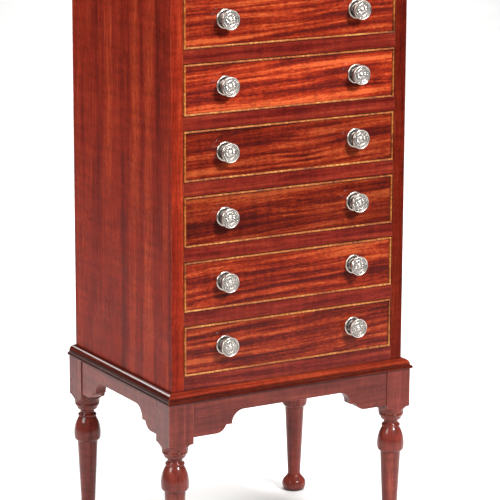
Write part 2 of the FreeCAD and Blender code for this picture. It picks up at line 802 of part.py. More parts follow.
def build_drawer(number):
    """Drawer 1 is the lowest."""
    name = f"drawer_{number}"
    low_z = opening_z(number - 1) + size("drawer_under_gap")
    inside = drawer_half - LINING
    groove = size("drawer_groove")
    bottom = board(
        f"{name}_bottom_board",
        (drawer_x - inside - groove, lining_y - groove, low_z + size("drawer_bottom_rise")),
        (inside * 2 + groove * 2, drawer_end_y - lining_y + groove, size("drawer_bottom_thick")),
    )
    left = drawer_side(f"{name}_left", drawer_x - drawer_half, low_z, bottom)
    right = drawer_side(f"{name}_right", drawer_x + inside, low_z, bottom)
    sides = group(f"{name}_side_pair", [left, right])
    back_blank = board(
        f"{name}_back_blank",
        (drawer_x - drawer_half, drawer_back_y, low_z + back_foot),
        (drawer_width, size("drawer_back_thick"), back_head - back_foot),
    )
    back = cut(f"{name}_back_cut", back_blank, sides)
    knob_pieces = []
    holes = []
    for side_name, hand in HANDS.items():
        knob_x = size("knob_spacing") / 2 * hand
        middle = (knob_x, front_y, low_z + drawer_height / 2 + size("knob_rise"))
        label = f"{name}_{side_name}"
        knob_pieces.append(knob_plate(f"{label}_plate", middle))
        knob_pieces.append(knob_head(f"{label}_head", middle))
        knob_pieces.append(knob_nut(f"{label}_nut", middle))
        holes.append(bolt_hole(f"{label}_hole", middle))
    front = drawer_front(f"{name}_board", low_z, [sides, bottom, *holes])
    node(f"{name}_front", front)
    node(f"{name}_cock_beads", cock_beads(f"{name}_bead", low_z))
    node(f"{name}_linings", group(f"{name}_lining_set", [left, right, back]))
    node(f"{name}_bottom", bottom)
    node(f"{name}_knobs", group(f"{name}_knob_set", knob_pieces))


for number in range(1, DRAWERS + 1):
    build_drawer(number)


# The stand: top frame, aprons, legs, glue blocks


def frame_profile(hand):
    """Section of the top frame from the face of the leg blocks, which faces along the hand."""
    quarter = size("frame_round")
    bead_top = quarter + size("frame_fillet")
    root = size("frame_bead_root")
    bead_radius = tangent_radius(size("frame_bead") - root, (FRAME_THICK - bead_top) / 2)
    return [
        (FRAME_WIDTH * -hand, -FRAME_THICK),
        (FRAME_WIDTH * -hand, 0),
        (quarter * -hand, 0),
        (0, -quarter, quarter, -hand),
        (0, -bead_top),
        (root * hand, -bead_top),
        (root * hand, -FRAME_THICK, bead_radius, -hand),
    ]


def frame_front():
    """The front length of the top frame, mitred at both ends."""
    over = size("frame_bead") * 2
    inner = FRAME_WIDTH * 1.2
    body = new_body("frame_front_body", (0, stand_front_y, STAND_HEIGHT))
    length = (stand_half + size("frame_bead")) * 2
    pad(body, new_sketch(body, "YZ", frame_profile(-1)), length, "Symmetric")
    waste = []
    for hand in HANDS.values():
        outer_x = (stand_half + over) * hand
        inner_x = (stand_half - inner) * hand
        waste.append([(outer_x, -over), (inner_x, inner), (outer_x, inner)])
    pocket_through(body, new_sketch(body, "XY", *waste))
    return body


def frame_end(name, hand):
    """A side length of the top frame, mitred at the front and square at the back."""
    over = size("frame_bead") * 2
    inner = FRAME_WIDTH * 1.2
    body = new_body(f"frame_{name}_body", (stand_half * hand, stand_back_y, STAND_HEIGHT))
    pad(body, new_sketch(body, "XZ", frame_profile(hand)), stand_depth + size("frame_bead"))
    front = -stand_depth - over
    corners = [(over * hand, front), (inner * -hand, front), (inner * -hand, inner - stand_depth)]
    pocket_through(body, new_sketch(body, "XY", corners))
    return body


def build_frame():
    node("frame_front", cut("frame_front_bored", frame_front(), screws))
    for name, hand in HANDS.items():
        node(f"frame_{name}", frame_end(name, hand))
    inner_half = stand_half - FRAME_WIDTH
    back = board(
        "frame_back_blank",
        (-inner_half, stand_back_y - FRAME_WIDTH, frame_under_z),
        (inner_half * 2, FRAME_WIDTH, FRAME_THICK),
    )
    node("frame_back", cut("frame_back_bored", back, screws))


def apron(label, plane, corner, half, flat):
    """An apron with a shaped lower edge and a tenon at each end, about its own middle."""
    rise = size("apron_step_rise")
    toe = size("apron_toe")
    hollow = size("apron_hollow")
    toe_radius = tangent_radius(rise, toe)
    step_z = rise - APRON_HEIGHT
    flat_x = half - flat
    toe_x = flat_x - toe
    step_x = toe_x - size("apron_step")
    arch_x = step_x - hollow
    outline = [
        (-half, 0),
        (half, 0),
        (half, -APRON_HEIGHT),
        (flat_x, -APRON_HEIGHT),
        (toe_x, step_z, toe_radius, -1),
        (step_x, step_z),
        (arch_x, step_z + hollow, hollow, 1),
        (-arch_x, step_z + hollow),
        (-step_x, step_z, hollow, 1),
        (-toe_x, step_z),
        (-flat_x, -APRON_HEIGHT, toe_radius, -1),
        (-half, -APRON_HEIGHT),
    ]
    inset = size("apron_tenon_inset")
    reach = half + size("apron_tenon_length")
    root = half - inset
    tenons = []
    for hand in HANDS.values():
        tenons.append(rectangle(root * hand, -inset, reach * hand, inset - APRON_HEIGHT))
    body = new_body(label, corner)
    pad(body, new_sketch(body, plane, outline), APRON_THICK, "Symmetric")
    pad(body, new_sketch(body, plane, *tenons), size("apron_tenon_thick"), "Symmetric")
    return body


def leg(label, corner, lift, aprons):
    """A leg: square block, turned shoulder, collar, ring, neck, bead, bulb, shank and foot."""
    body = new_body(f"{label}_body", corner)
    block_end = lift - size("block_length")
    shoulder_end = block_end - size("shoulder_length")
    half = BLOCK / 2
    square = rectangle(-half, -half, half, half)
    pad(body, new_sketch(body, "XY", square), -shoulder_end, reverse=True)
    collar = size("collar_radius")
    shoulder = [
        (BLOCK, block_end),
        (size("shoulder_nick_radius"), block_end - size("shoulder_nick_drop")),
        (collar, shoulder_end, size("shoulder_hollow"), 1),
        (BLOCK, shoulder_end),
    ]
    turn_on_lathe(body, "Groove", new_sketch(body, "XZ", shoulder))
    turn_on_lathe(body, "Revolution", new_sketch(body, "XZ", leg_profile(shoulder_end)))
    return cut(f"{label}_mortised", body, group(f"{label}_tenons", aprons))


def leg_profile(collar_z):
    """Half section of the turned part, from the collar down to the floor and back up inside."""
    floor = -frame_under_z
    ring_z = collar_z - size("collar_length")
    fillet_z = ring_z - size("ring_length")
    under_z = fillet_z - size("fillet_length")
    neck_z = under_z - size("undercut_length")
    bead_z = neck_z - size("neck_length")
    bulb_z = bead_z - size("bead_length")
    belly_z = bulb_z - size("bulb_shoulder_length")
    curl_z = belly_z - size("bulb_belly_length")
    shank_z = curl_z - size("bulb_under_length")
    ring = size("ring_root_radius")
    neck = size("neck_radius")
    bead = size("bead_root_radius")
    bulb = size("bulb_radius")
    belly_drop = size("bulb_belly_drop")
    belly = bulb - belly_drop
    bulb_foot = size("bulb_foot_radius")
    ankle = size("ankle_radius")
    lip = size("lip_radius")
    foot = size("foot_radius")
    foot_z = size("foot_height") - frame_under_z
    crown_z = foot_z + size("foot_crown")
    crown_drop = size("foot_crown_drop")
    pad_drop = size("foot_pad_drop")
    lip_z = crown_z + size("lip_slope")
    ankle_z = lip_z + size("ankle_hollow")
    return [
        (0, collar_z),
        (size("collar_radius"), collar_z),
        (size("collar_radius"), ring_z),
        (ring, ring_z),
        (ring, fillet_z, size("ring_length") * BEAD_SHARE, -1),
        (size("fillet_radius"), under_z),
        (neck, neck_z),
        (neck, bead_z, size("neck_length") * HOLLOW_SHARE, 1),
        (bead, bead_z),
        (bead, bulb_z, size("bead_length") * BEAD_SHARE, -1),
        (bulb, belly_z, tangent_radius(bulb - bead, size("bulb_shoulder_length")), -1),
        (belly, curl_z, tangent_radius(belly_drop, size("bulb_belly_length")), -1),
        (bulb_foot, shank_z, tangent_radius(belly - bulb_foot, size("bulb_under_length")), -1),
        (size("shank_radius"), shank_z),
        (ankle, ankle_z),
        (lip, lip_z, tangent_radius(lip - ankle, size("ankle_hollow")), 1),
        (foot - crown_drop, crown_z),
        (foot, foot_z, tangent_radius(crown_drop, size("foot_crown")), -1),
        (foot - pad_drop, floor, tangent_radius(pad_drop, size("foot_height")), -1),
        (0, floor),
    ]


def glue_blocks():
    """Pairs of small blocks in the angle between the top frame and each apron."""
    long = size("glue_block_length")
    side = size("glue_block_side")
    low_z = frame_under_z - side
    middle_y = (stand_front_y + stand_back_y) / 2
    front = stand_front_y + apron_inside
    back = stand_back_y - apron_inside - side
    left = -stand_half + apron_inside
    right = stand_half - apron_inside - side
    blocks = []
    for name, hand in HANDS.items():
        along = size("glue_block_spread") * hand - long / 2
        for row, y in {"front": front, "back": back}.items():
            blocks.append(board(f"block_{row}_{name}", (along, y, low_z), (long, side, side)))
        for row, x in {"left": left, "right": right}.items():
            corner = (x, middle_y + along, low_z)
            blocks.append(board(f"block_{row}_{name}", corner, (side, long, side)))
    return group("glue_block_set", blocks)


def build_stand():
    apron_middle = size("apron_set_back") + APRON_THICK / 2
    middle_y = (stand_front_y + stand_back_y) / 2
    across = stand_half - BLOCK
    along = stand_depth / 2 - BLOCK
    ends = {"front": stand_front_y + apron_middle, "back": stand_back_y - apron_middle}
    aprons = {}
    for name, y in ends.items():
        corner = (0, y, frame_under_z)
        aprons[name] = apron(f"apron_{name}_body", "XZ", corner, across, size("apron_flat_front"))
    for name, hand in HANDS.items():
        corner = ((stand_half - apron_middle) * hand, middle_y, frame_under_z)
        aprons[name] = apron(f"apron_{name}_body", "YZ", corner, along, size("apron_flat_side"))
    legs_y = {"front": stand_front_y + BLOCK / 2, "back": stand_back_y - BLOCK / 2}
    for end, y in legs_y.items():
        for name, hand in HANDS.items():
            corner = ((stand_half - BLOCK / 2) * hand, y, frame_under_z)
            lift = size(f"lift_{end}_{name}")
            joined = [aprons[end], aprons[name]]
            node(f"leg_{end}_{name}", leg(f"{end}_{name}_leg", corner, lift, joined))
    for name, piece in aprons.items():
        node(f"apron_{name}", piece)
    node("glue_blocks", glue_blocks())


build_stand()
build_frame()
node("screws", screws)


# Check every piece, then write it


def check_and_write():
    doc.recompute()
    for thing in doc.Objects:
        if "Invalid" in thing.State or "Error" in thing.State:
            raise RuntimeError(f"{thing.Name} failed: {thing.State}")
    for label, piece in nodes.items():
        shape = piece.Shape
        if piece.Label != label or shape.isNull() or not shape.isValid() or not shape.Solids:
            raise RuntimeError(f"{label} has no valid shape of its own")
    os.makedirs("parts", exist_ok=True)
    for label, piece in nodes.items():
        piece.Shape.exportStep(f"parts/{label}.step")
    print(len(nodes), "nodes,", sum(len(piece.Shape.Solids) for piece in nodes.values()), "solids")


check_and_write()
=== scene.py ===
# %% [markdown]
# # A tall chest of drawers on a turned stand
#
# The chest comes from its CAD model, which fixes every size. This notebook dresses it: softened
# arrises, a figured mahogany with a french polish, golden cock beads, chased silver knobs, and
# raw oak and pine where the eye doesn't usually go.
#
# Each step says what the real thing is, how it could be made in Blender, and why one way was
# taken. The model is loaded first, and its sizes are kept.

# %% Load the chest
import json
import math

import bmesh
import bpy
from mathutils import Matrix, Vector

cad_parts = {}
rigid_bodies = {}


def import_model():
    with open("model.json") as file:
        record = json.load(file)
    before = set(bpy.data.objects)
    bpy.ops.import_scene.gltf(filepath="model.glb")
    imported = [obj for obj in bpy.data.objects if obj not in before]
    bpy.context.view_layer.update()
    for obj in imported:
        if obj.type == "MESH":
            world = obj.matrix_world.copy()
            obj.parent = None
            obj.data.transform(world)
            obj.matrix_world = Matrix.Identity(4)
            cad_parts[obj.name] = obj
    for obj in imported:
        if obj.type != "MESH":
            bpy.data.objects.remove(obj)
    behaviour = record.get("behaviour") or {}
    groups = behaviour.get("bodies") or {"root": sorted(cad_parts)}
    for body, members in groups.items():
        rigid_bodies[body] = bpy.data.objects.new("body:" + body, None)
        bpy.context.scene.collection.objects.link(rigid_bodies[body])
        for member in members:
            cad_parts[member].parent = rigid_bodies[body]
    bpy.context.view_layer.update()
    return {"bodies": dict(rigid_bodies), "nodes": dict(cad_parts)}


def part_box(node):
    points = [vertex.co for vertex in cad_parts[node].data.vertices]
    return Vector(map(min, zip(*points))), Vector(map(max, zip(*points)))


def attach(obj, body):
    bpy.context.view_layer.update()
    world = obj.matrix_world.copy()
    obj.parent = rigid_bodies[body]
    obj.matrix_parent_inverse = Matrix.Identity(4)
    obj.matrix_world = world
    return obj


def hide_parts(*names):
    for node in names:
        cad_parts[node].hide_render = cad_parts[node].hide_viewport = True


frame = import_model()
nodes = frame["nodes"]
DRAWERS = sorted(name for name in frame["bodies"] if name.startswith("drawer_"))
MM = 0.001
print(len(nodes), "nodes,", len(DRAWERS), "drawers")

# %% [markdown]
# ## The camera
#
# The photograph was taken with a long lens, from the front left and a little above. Its place was
# worked out from the straight edges of the chest, so the picture can be laid over the render. A
# long lens far away keeps upright edges nearly parallel, which a closer, wider lens can't do.

# %% Camera
CAMERA_PLACE = Vector((-2.1876, -3.7996, 1.5239))
MIDDLE = Vector((0, 0, 0.7))  # of the chest, also where the lamps point
TURN, TILT, ROLL = (math.radians(angle) for angle in (30.16, 12.98, 0.21))
PICTURE_WIDTH, FOCAL_LENGTH = 500, 2608.46  # both in pixels
forward = Vector(
    (math.sin(TURN) * math.cos(TILT), math.cos(TURN) * math.cos(TILT), -math.sin(TILT))
)
level = Vector((math.cos(TURN), -math.sin(TURN), 0))
upward = level.cross(forward)
right = level * math.cos(ROLL) + upward * math.sin(ROLL)
top = upward * math.cos(ROLL) - level * math.sin(ROLL)

lens = bpy.data.cameras.new("camera")
lens.sensor_width = 36
lens.lens = lens.sensor_width * FOCAL_LENGTH / PICTURE_WIDTH
lens.clip_end = 60
camera = bpy.data.objects.new("camera", lens)
bpy.context.collection.objects.link(camera)
turned = Matrix((right, top, -forward)).transposed()
camera.matrix_world = Matrix.Translation(CAMERA_PLACE) @ turned.to_4x4()
bpy.context.scene.camera = camera
print("camera", round((CAMERA_PLACE - MIDDLE).length, 2), "m away")

# %% [markdown]
# ## Small tools for nodes
#
# Finishes could be drawn by hand in the node editor, but a script can be read, repeated and
# changed in one place. A finish is a chain of small decisions, so each is best one line. These
# helpers add a node with its values and links, do a sum, or stretch one range over another.

# %% Nodes and sums


def add_node(tree, kind, values=None, links=None, **settings):
    """Add a node. Values go to its input sockets, links join sockets of other nodes to them."""
    made = tree.nodes.new(kind)
    for name, value in settings.items():
        setattr(made, name, value)
    for socket, value in (values or {}).items():
        made.inputs[socket].default_value = value
    for socket, source in (links or {}).items():
        tree.links.new(source, made.inputs[socket])
    return made


def calculate(tree, operation, *amounts):
    """A math node on sockets and numbers."""
    made = add_node(tree, "ShaderNodeMath", operation=operation)
    for index, amount in enumerate(amounts):
        if isinstance(amount, (int, float)):
            made.inputs[index].default_value = amount
        else:
            tree.links.new(amount, made.inputs[index])
    return made.outputs[0]


def spread(tree, value, low, high, to_low=0.0, to_high=1.0, smooth=True):
    """Map a value from one range to another."""
    made = add_node(
        tree,
        "ShaderNodeMapRange",
        {"From Min": low, "From Max": high, "To Min": to_low, "To Max": to_high},
        {"Value": value},
        interpolation_type="SMOOTHSTEP" if smooth else "LINEAR",
    )
    return made.outputs["Result"]


print("helpers: add_node, calculate, spread")

# %% [markdown]
# ## Small tools for colours
#
# A wood could be a photograph wrapped round the board, but that would blur close up and repeat.
# Here it is one grey pattern, run through a ramp of colours from the darkest grain to the
# lightest, which is sharp at any distance. A stain is blended in wherever a mask says so.

# %% Colours
MIX_INPUTS, MIX_RESULT = (0, 6, 7), 2  # sockets of a Mix node on colours: factor, first, second


def blend_colour(tree, amount, first, second, how="MIX"):
    """Mix two colours, each a socket or a plain colour."""
    made = add_node(tree, "ShaderNodeMix", data_type="RGBA", blend_type=how)
    for index, value in zip(MIX_INPUTS, (amount, first, second)):
        if isinstance(value, bpy.types.NodeSocket):
            tree.links.new(value, made.inputs[index])
        else:
            made.inputs[index].default_value = value
    return made.outputs[MIX_RESULT]


def stain(tree, colour, mask, strength, shade):
    """Blend a shade over a colour where a mask is high."""
    return blend_colour(tree, calculate(tree, "MULTIPLY", mask, strength), colour, (*shade, 1))


def ramp(tree, value, stops):
    """A colour ramp from (place, colour) pairs."""
    made = tree.nodes.new("ShaderNodeValToRGB")
    elements = made.color_ramp.elements
    while len(elements) < len(stops):
        elements.new(0.5)
    for element, (place, colour) in zip(elements, stops):
        element.position = place
        element.color = (*colour, 1)
    tree.links.new(value, made.inputs[0])
    return made.outputs["Color"]


def evenly(colours):
    """Colours as the stops of a ramp, evenly spaced."""
    return [(index / (len(colours) - 1), colour) for index, colour in enumerate(colours)]


print("helpers: blend_colour, stain, ramp, evenly")

# %% [markdown]
# ## Groups and materials
#
# The same nodes could be copied into every finish, and then every change made many times. So what
# several finishes share is built once, as a node group with named sockets, and each finish places
# it with its own values. The shader itself stays in the material.

# %% Groups and materials


def new_group(name, inputs, outputs, kind="ShaderNodeTree"):
    """A node group with named sockets: inputs are (name, kind, value), outputs (name, kind)."""
    group = bpy.data.node_groups.new(name, kind)
    for label, sort, value in inputs:
        socket = group.interface.new_socket(
            label, in_out="INPUT", socket_type=f"NodeSocket{sort}"
        )
        if value is not None:
            socket.default_value = value
    for label, sort in outputs:
        group.interface.new_socket(label, in_out="OUTPUT", socket_type=f"NodeSocket{sort}")
    return group, group.nodes.new("NodeGroupInput"), group.nodes.new("NodeGroupOutput")


def place_group(tree, group, values, links):
    """Place a group in a material, with its own values."""
    made = tree.nodes.new("ShaderNodeGroup")
    made.node_tree = group
    for socket, value in values.items():
        made.inputs[socket].default_value = value
    for socket, source in links.items():
        tree.links.new(source, made.inputs[socket])
    return made


def new_material(name):
    """An empty material and its node tree."""
    material = bpy.data.materials.new(name)
    material.use_nodes = True
    material.node_tree.nodes.clear()
    return material, material.node_tree


def surface(tree, values, links):
    """The shader that ends a finish. Fixed values go straight to its own sockets."""
    shader = add_node(tree, "ShaderNodeBsdfPrincipled", values, links)
    add_node(tree, "ShaderNodeOutputMaterial", links={"Surface": shader.outputs[0]})


print("helpers: new_group, place_group, new_material, surface")

# %% [markdown]
# ## The figure of the wood
#
# Mahogany shows three things at once: wide ribbons where the grain leans towards the eye or away
# from it, fine lines along the board, and short flecks and dark pores. A Wave texture would give
# stripes too, but they are as regular as wallpaper. Each pattern is a noise instead, stretched
# along the grain by dividing the place by a long and a narrow size.

# %% Noises


def noise(tree, vector, scale, detail, roughness=0.5):
    """Soft blotches about one over the scale wide, as a number round 0.5."""
    values = {"Scale": scale, "Detail": detail, "Roughness": roughness}
    return add_node(tree, "ShaderNodeTexNoise", values, {"Vector": vector}).outputs["Fac"]


def stretched_noise(tree, vector, along, across, detail, roughness=0.55):
    """Noise whose blotches are this long along X and this wide across it."""
    sizes = tree.nodes.new("ShaderNodeCombineXYZ")
    for axis, amount in (("X", along), ("Y", across), ("Z", across)):
        if isinstance(amount, (int, float)):
            sizes.inputs[axis].default_value = amount
        else:
            tree.links.new(amount, sizes.inputs[axis])
    scaled = add_node(
        tree, "ShaderNodeVectorMath", links={0: vector, 1: sizes.outputs[0]}, operation="DIVIDE"
    )
    return noise(tree, scaled.outputs[0], 1.0, detail, roughness)


print("helpers: noise, stretched_noise")

# %% [markdown]
# The ribbons wander a little, because no tree grows straight: a slow noise pushes the others
# aside. A shift picks another part of the tree. One group makes all of it for every board of the
# chest, and each finish asks for its own sizes.

# %% Wood figure group
figure, start, end = new_group(
    "wood figure",
    [
        ("Vector", "Vector", None),
        ("Ribbon width", "Float", 0.012),
        ("Ribbon length", "Float", 0.25),
        ("Wander", "Float", 0.01),
        ("Shift", "Vector", None),
    ],
    [(label, "Float") for label in ("Ribbon", "Line", "Fleck", "Pore", "Mottle")],
)
moved = add_node(
    figure,
    "ShaderNodeVectorMath",
    links={0: start.outputs["Vector"], 1: start.outputs["Shift"]},
    operation="ADD",
).outputs[0]
bend = stretched_noise(figure, moved, 0.22, 0.06, 1.0)
sway = calculate(
    figure, "MULTIPLY", calculate(figure, "SUBTRACT", bend, 0.5), start.outputs["Wander"]
)
aside = add_node(figure, "ShaderNodeCombineXYZ", links={"Y": sway, "Z": sway})
wavy = add_node(
    figure, "ShaderNodeVectorMath", links={0: moved, 1: aside.outputs[0]}, operation="ADD"
).outputs[0]
ribbon = stretched_noise(
    figure, wavy, start.outputs["Ribbon length"], start.outputs["Ribbon width"], 2.5, 0.5
)
pore = stretched_noise(figure, wavy, 0.009, 0.0006, 1.0)
for label, pattern in {
    "Ribbon": ribbon,
    "Line": stretched_noise(figure, wavy, 0.07, 0.0028, 2.0, 0.6),
    "Fleck": stretched_noise(figure, wavy, 0.007, 0.0022, 2.0, 0.65),
    "Pore": spread(figure, pore, 0.62, 0.74),
    "Mottle": stretched_noise(figure, moved, 0.010, 0.05, 2.0),
}.items():
    figure.links.new(pattern, end.inputs[label])
print("wood figure:", len(figure.nodes), "nodes")

# %% [markdown]
# ## Wear, dirt and painted shade
#
# A century of dusting rubs the polish thin on every arris, and leaves dark wax in every corner.
# The Bevel node finds arrises: it rounds the surface's direction near an edge, and where that
# differs from the true direction there is an edge. Ambient occlusion finds the corners, and the
# darkening it drives there is partly that wax and partly painted shade, where shade falls in
# corners and creases. Both could be painted by hand, but found like this they also follow a change
# in the shape.

# %% Wear, dirt and painted shade group
FLAT, EDGED = 0.995, 0.90  # how well the rounded direction agrees with the true one
OPEN, ENCLOSED = 0.85, 0.35  # how much of the room a place can see
wear, start, end = new_group(
    "wear, dirt and shade",
    [
        ("Edge width", "Float", 0.001),
        ("Dirt and shade reach", "Float", 0.006),
        ("Vector", "Vector", None),
    ],
    [(label, "Float") for label in ("Edge", "Dirt and shade", "Smudge")],
)
rounded = add_node(
    wear, "ShaderNodeBevel", links={"Radius": start.outputs["Edge width"]}, samples=4
)
actual = wear.nodes.new("ShaderNodeNewGeometry")
agree = add_node(
    wear,
    "ShaderNodeVectorMath",
    links={0: rounded.outputs["Normal"], 1: actual.outputs["Normal"]},
    operation="DOT_PRODUCT",
)
patchy = noise(wear, start.outputs["Vector"], 55.0, 3.0)
edge = calculate(
    wear,
    "MULTIPLY",
    spread(wear, agree.outputs["Value"], FLAT, EDGED),
    spread(wear, patchy, 0.35, 0.65),
)
# ambient occlusion: its mask darkens corners, partly for dirt and partly as painted shade
shade = add_node(
    wear,
    "ShaderNodeAmbientOcclusion",
    links={"Distance": start.outputs["Dirt and shade reach"]},
    samples=6,
    only_local=False,
)
smudge = noise(wear, start.outputs["Vector"], 9.0, 4.0, 0.6)
wear.links.new(edge, end.inputs["Edge"])
wear.links.new(spread(wear, shade.outputs["AO"], OPEN, ENCLOSED), end.inputs["Dirt and shade"])
wear.links.new(smudge, end.inputs["Smudge"])
print("wear, dirt and shade:", len(wear.nodes), "nodes")

# %% [markdown]
# ## Which way the grain runs
#
# A board's grain runs along its length: upright in the sides and legs, across in the fronts and
# rails, to the back in the side mouldings. Each piece could be unwrapped to a UV map, which is
# slow work for so many. Instead the place on the piece is turned round, so that X always runs
# along the grain. The colour is then the three patterns, weighed by their shares, on one ramp.

# %% Grain and figure
GRAIN_ORDER = {"X": "XYZ", "Y": "YXZ", "Z": "ZXY"}


def place_on(tree):
    """The place on the piece, in metres."""
    return tree.nodes.new("ShaderNodeTexCoord").outputs["Object"]


def along_grain(tree, grain, lean=0.0):
    """The place on the piece, turned round so that X always runs along the grain."""
    place = place_on(tree)
    if lean:
        leaning = {"Rotation": (0, math.radians(lean), 0)}
        place = add_node(tree, "ShaderNodeMapping", leaning, {"Vector": place}).outputs["Vector"]
    parts = add_node(tree, "ShaderNodeSeparateXYZ", links={0: place})
    reordered = tree.nodes.new("ShaderNodeCombineXYZ")
    for axis, source in zip("XYZ", GRAIN_ORDER[grain]):
        tree.links.new(parts.outputs[source], reordered.inputs[axis])
    return reordered.outputs[0]


def figured(tree, wood, colours, contrast, shares):
    """The patterns of the figure on a ramp of colours. Contrast is the range the ramp covers."""
    mixed = 0.0
    for pattern, share in zip(("Ribbon", "Line", "Fleck"), shares):
        mixed = calculate(tree, "MULTIPLY_ADD", wood.outputs[pattern], share, mixed)
    return ramp(tree, spread(tree, mixed, *contrast, smooth=False), evenly(colours))


print("grain runs along", ", ".join(GRAIN_ORDER))

# %% [markdown]
# ## How deep the colour lies
#
# No two boards have quite the same tone. Every board could have its own material, but it is less
# work that each piece carries a stored number called tone, and one material reads it. On the
# moulding, the colour is darker below a certain height.

# %% Depth of tone
WORN_WOOD = (0.50, 0.16, 0.07)
# near black, laid into corners: old wax and painted shade
WAX_AND_SHADE = (0.03, 0.012, 0.010)
DARKENED_TO, THIN_POLISH = 0.42, 0.3  # what is left below the darker height: of the colour, and of the coat


def height_of(tree):
    """The height over the floor."""
    return add_node(tree, "ShaderNodeSeparateXYZ", links={0: place_on(tree)}).outputs["Z"]


def depth_of_tone(tree, mottle, darker_below):
    """How deep the colour lies: the mottle, the board's own tone, and darkening below a height."""
    depth = spread(tree, mottle, 0.3, 0.7, 0.87, 1.12)
    board = add_node(tree, "ShaderNodeAttribute", attribute_name="tone").outputs["Fac"]
    depth = calculate(tree, "MULTIPLY", depth, board)
    if darker_below:
        above_band = spread(tree, height_of(tree), *darker_below, DARKENED_TO, 1.0)
        depth = calculate(tree, "MULTIPLY", depth, above_band)
    return depth


print("stains:", "worn wood", WORN_WOOD, "Wax and painted shade", WAX_AND_SHADE)

# %% [markdown]
# ## The colour of old mahogany
#
# Pores are darker than the darkest ribbon, arrises are rubbed pale, and corners are darkened,
# partly for old wax and partly as painted shade. All could be mixed into one ramp, but a stain with
# its own mask can lie anywhere on the figure. Pores are also little hollows, and fine lines stand
# up a little, so the bump follows the same patterns.

# %% Aged colour and relief
PORE_STAIN, EDGE_WEAR, DIRT_AND_SHADE_COVER = 0.45, 0.55, 0.75
PORE_SHADE = 0.45  # of the darkest ribbon's colour
LINE_RELIEF, PORE_RELIEF = 0.35, 0.45


def aged_colour(tree, wood, age, colours, contrast, shares, darker_below):
    """The figure in the board's tone, with dark pores, worn arrises, and wax and painted shade in
    corners.
    """
    colour = figured(tree, wood, colours, contrast, shares)
    depth = depth_of_tone(tree, wood.outputs["Mottle"], darker_below)
    colour = blend_colour(tree, 1.0, colour, depth, "MULTIPLY")
    in_pores = [channel * PORE_SHADE for channel in colours[0]]
    colour = stain(tree, colour, wood.outputs["Pore"], PORE_STAIN, in_pores)
    colour = stain(tree, colour, age.outputs["Edge"], EDGE_WEAR, WORN_WOOD)
    # painted shade and old wax in the corners, where the ambient occlusion mask is high
    return stain(tree, colour, age.outputs["Dirt and shade"], DIRT_AND_SHADE_COVER, WAX_AND_SHADE)


def fine_relief(tree, wood):
    """The bump of fine lines and hollow pores."""
    lines = calculate(tree, "MULTIPLY", wood.outputs["Line"], LINE_RELIEF)
    hollows = calculate(tree, "MULTIPLY", wood.outputs["Pore"], PORE_RELIEF)
    height = {"Height": calculate(tree, "SUBTRACT", lines, hollows)}
    bump = add_node(tree, "ShaderNodeBump", {"Strength": 0.18, "Distance": 0.0003}, height)
    return bump.outputs["Normal"]


print("helpers: aged_colour, fine_relief")

# %% [markdown]
# ## Polished mahogany
#
# A french polish is many thin coats of shellac. A low roughness alone would look like plastic, so
# the shader has a clear coat over duller wood, which is duller still where there is grime. Below
# the height where the moulding turns darker, the coat thins out too.

# %% Mahogany


def mahogany(
    name,
    grain,
    colours,
    ribbon=(0.012, 0.25),
    wander=0.01,
    shift=(0, 0, 0),
    lean=0.0,
    contrast=(0.34, 0.68),
    shares=(0.55, 0.25, 0.20),
    coat=0.5,
    gloss=0.05,
    sheen=0.12,
    dirt_and_shade_reach=0.006,
    darker_below=None,
):
    """A polished mahogany. Colours run from its darkest ribbon to its lightest.

    The corner reach is how far darkening reaches out of a corner, partly dirt and partly painted
    shade. The band is a pair of heights: below the first the wood is dark, above the second it
    keeps its colour.
    """
    material, tree = new_material(name)
    vector = along_grain(tree, grain, lean)
    sizes = {"Ribbon width": ribbon[0], "Ribbon length": ribbon[1]}
    wood = place_group(
        tree, figure, {**sizes, "Wander": wander, "Shift": shift}, {"Vector": vector}
    )
    age = place_group(tree, wear, {"Edge width": 0.0012, "Dirt and shade reach": dirt_and_shade_reach}, {"Vector": vector})
    colour = aged_colour(tree, wood, age, colours, contrast, shares, darker_below)
    dull = spread(tree, age.outputs["Smudge"], 0.35, 0.7, 0.26, 0.42)
    dull = calculate(tree, "MULTIPLY_ADD", age.outputs["Dirt and shade"], 0.25, dull)
    polish = {"Specular IOR Level": sheen, "Coat Roughness": gloss, "Coat IOR": 1.45}
    links = {"Base Color": colour, "Roughness": dull, "Normal": fine_relief(tree, wood)}
    if darker_below:
        links["Coat Weight"] = spread(tree, height_of(tree), *darker_below, coat * THIN_POLISH, coat)
    else:
        polish["Coat Weight"] = coat
    surface(tree, polish, links)
    return material


print("helper: mahogany")

# %% [markdown]
# ## Sides and drawer fronts
#
# The sides are broad boards with wide upright ribbons and a thin, dull polish. The fronts were
# chosen for their lively figure: narrow, long ribbons that wander and lean a little against the
# edges of the drawer. Both are the same finish with other values, since it is one kind of wood.

# %% Sides and fronts
SIDE_TONES = [
    (0.10, 0.008, 0.004), (0.19, 0.014, 0.006),
    (0.25, 0.022, 0.008), (0.38, 0.050, 0.015),
]
FRONT_TONES = [
    (0.075, 0.007, 0.005), (0.17, 0.013, 0.005),
    (0.29, 0.028, 0.008), (0.46, 0.080, 0.022),
]
side_wood = mahogany(
    "side mahogany",
    "Z",
    SIDE_TONES,
    ribbon=(0.028, 0.6),
    shift=(0.3, 0.1, 0.2),
    contrast=(0.395, 0.625),
    shares=(0.48, 0.30, 0.22),
    coat=0.05,
    gloss=0.12,
    sheen=0.05,
)
front_wood = mahogany(
    "drawer front mahogany",
    "X",
    FRONT_TONES,
    ribbon=(0.009, 0.38),
    wander=0.020,
    lean=2.0,
    shift=(0.7, 0.3, 0.5),
    contrast=(0.41, 0.595),
    shares=(0.60, 0.18, 0.22),
    coat=0.3,
    sheen=0.08,
)
print("finishes:", side_wood.name, "and", front_wood.name)

# %% [markdown]
# ## Rails and moulding
#
# The rails between the drawers are plain and a shade darker. The moulding shines most, because
# it is narrow and was rubbed hardest. It runs two ways. One material could turn its grain by the
# direction of a face, but one for each way is easier to follow.

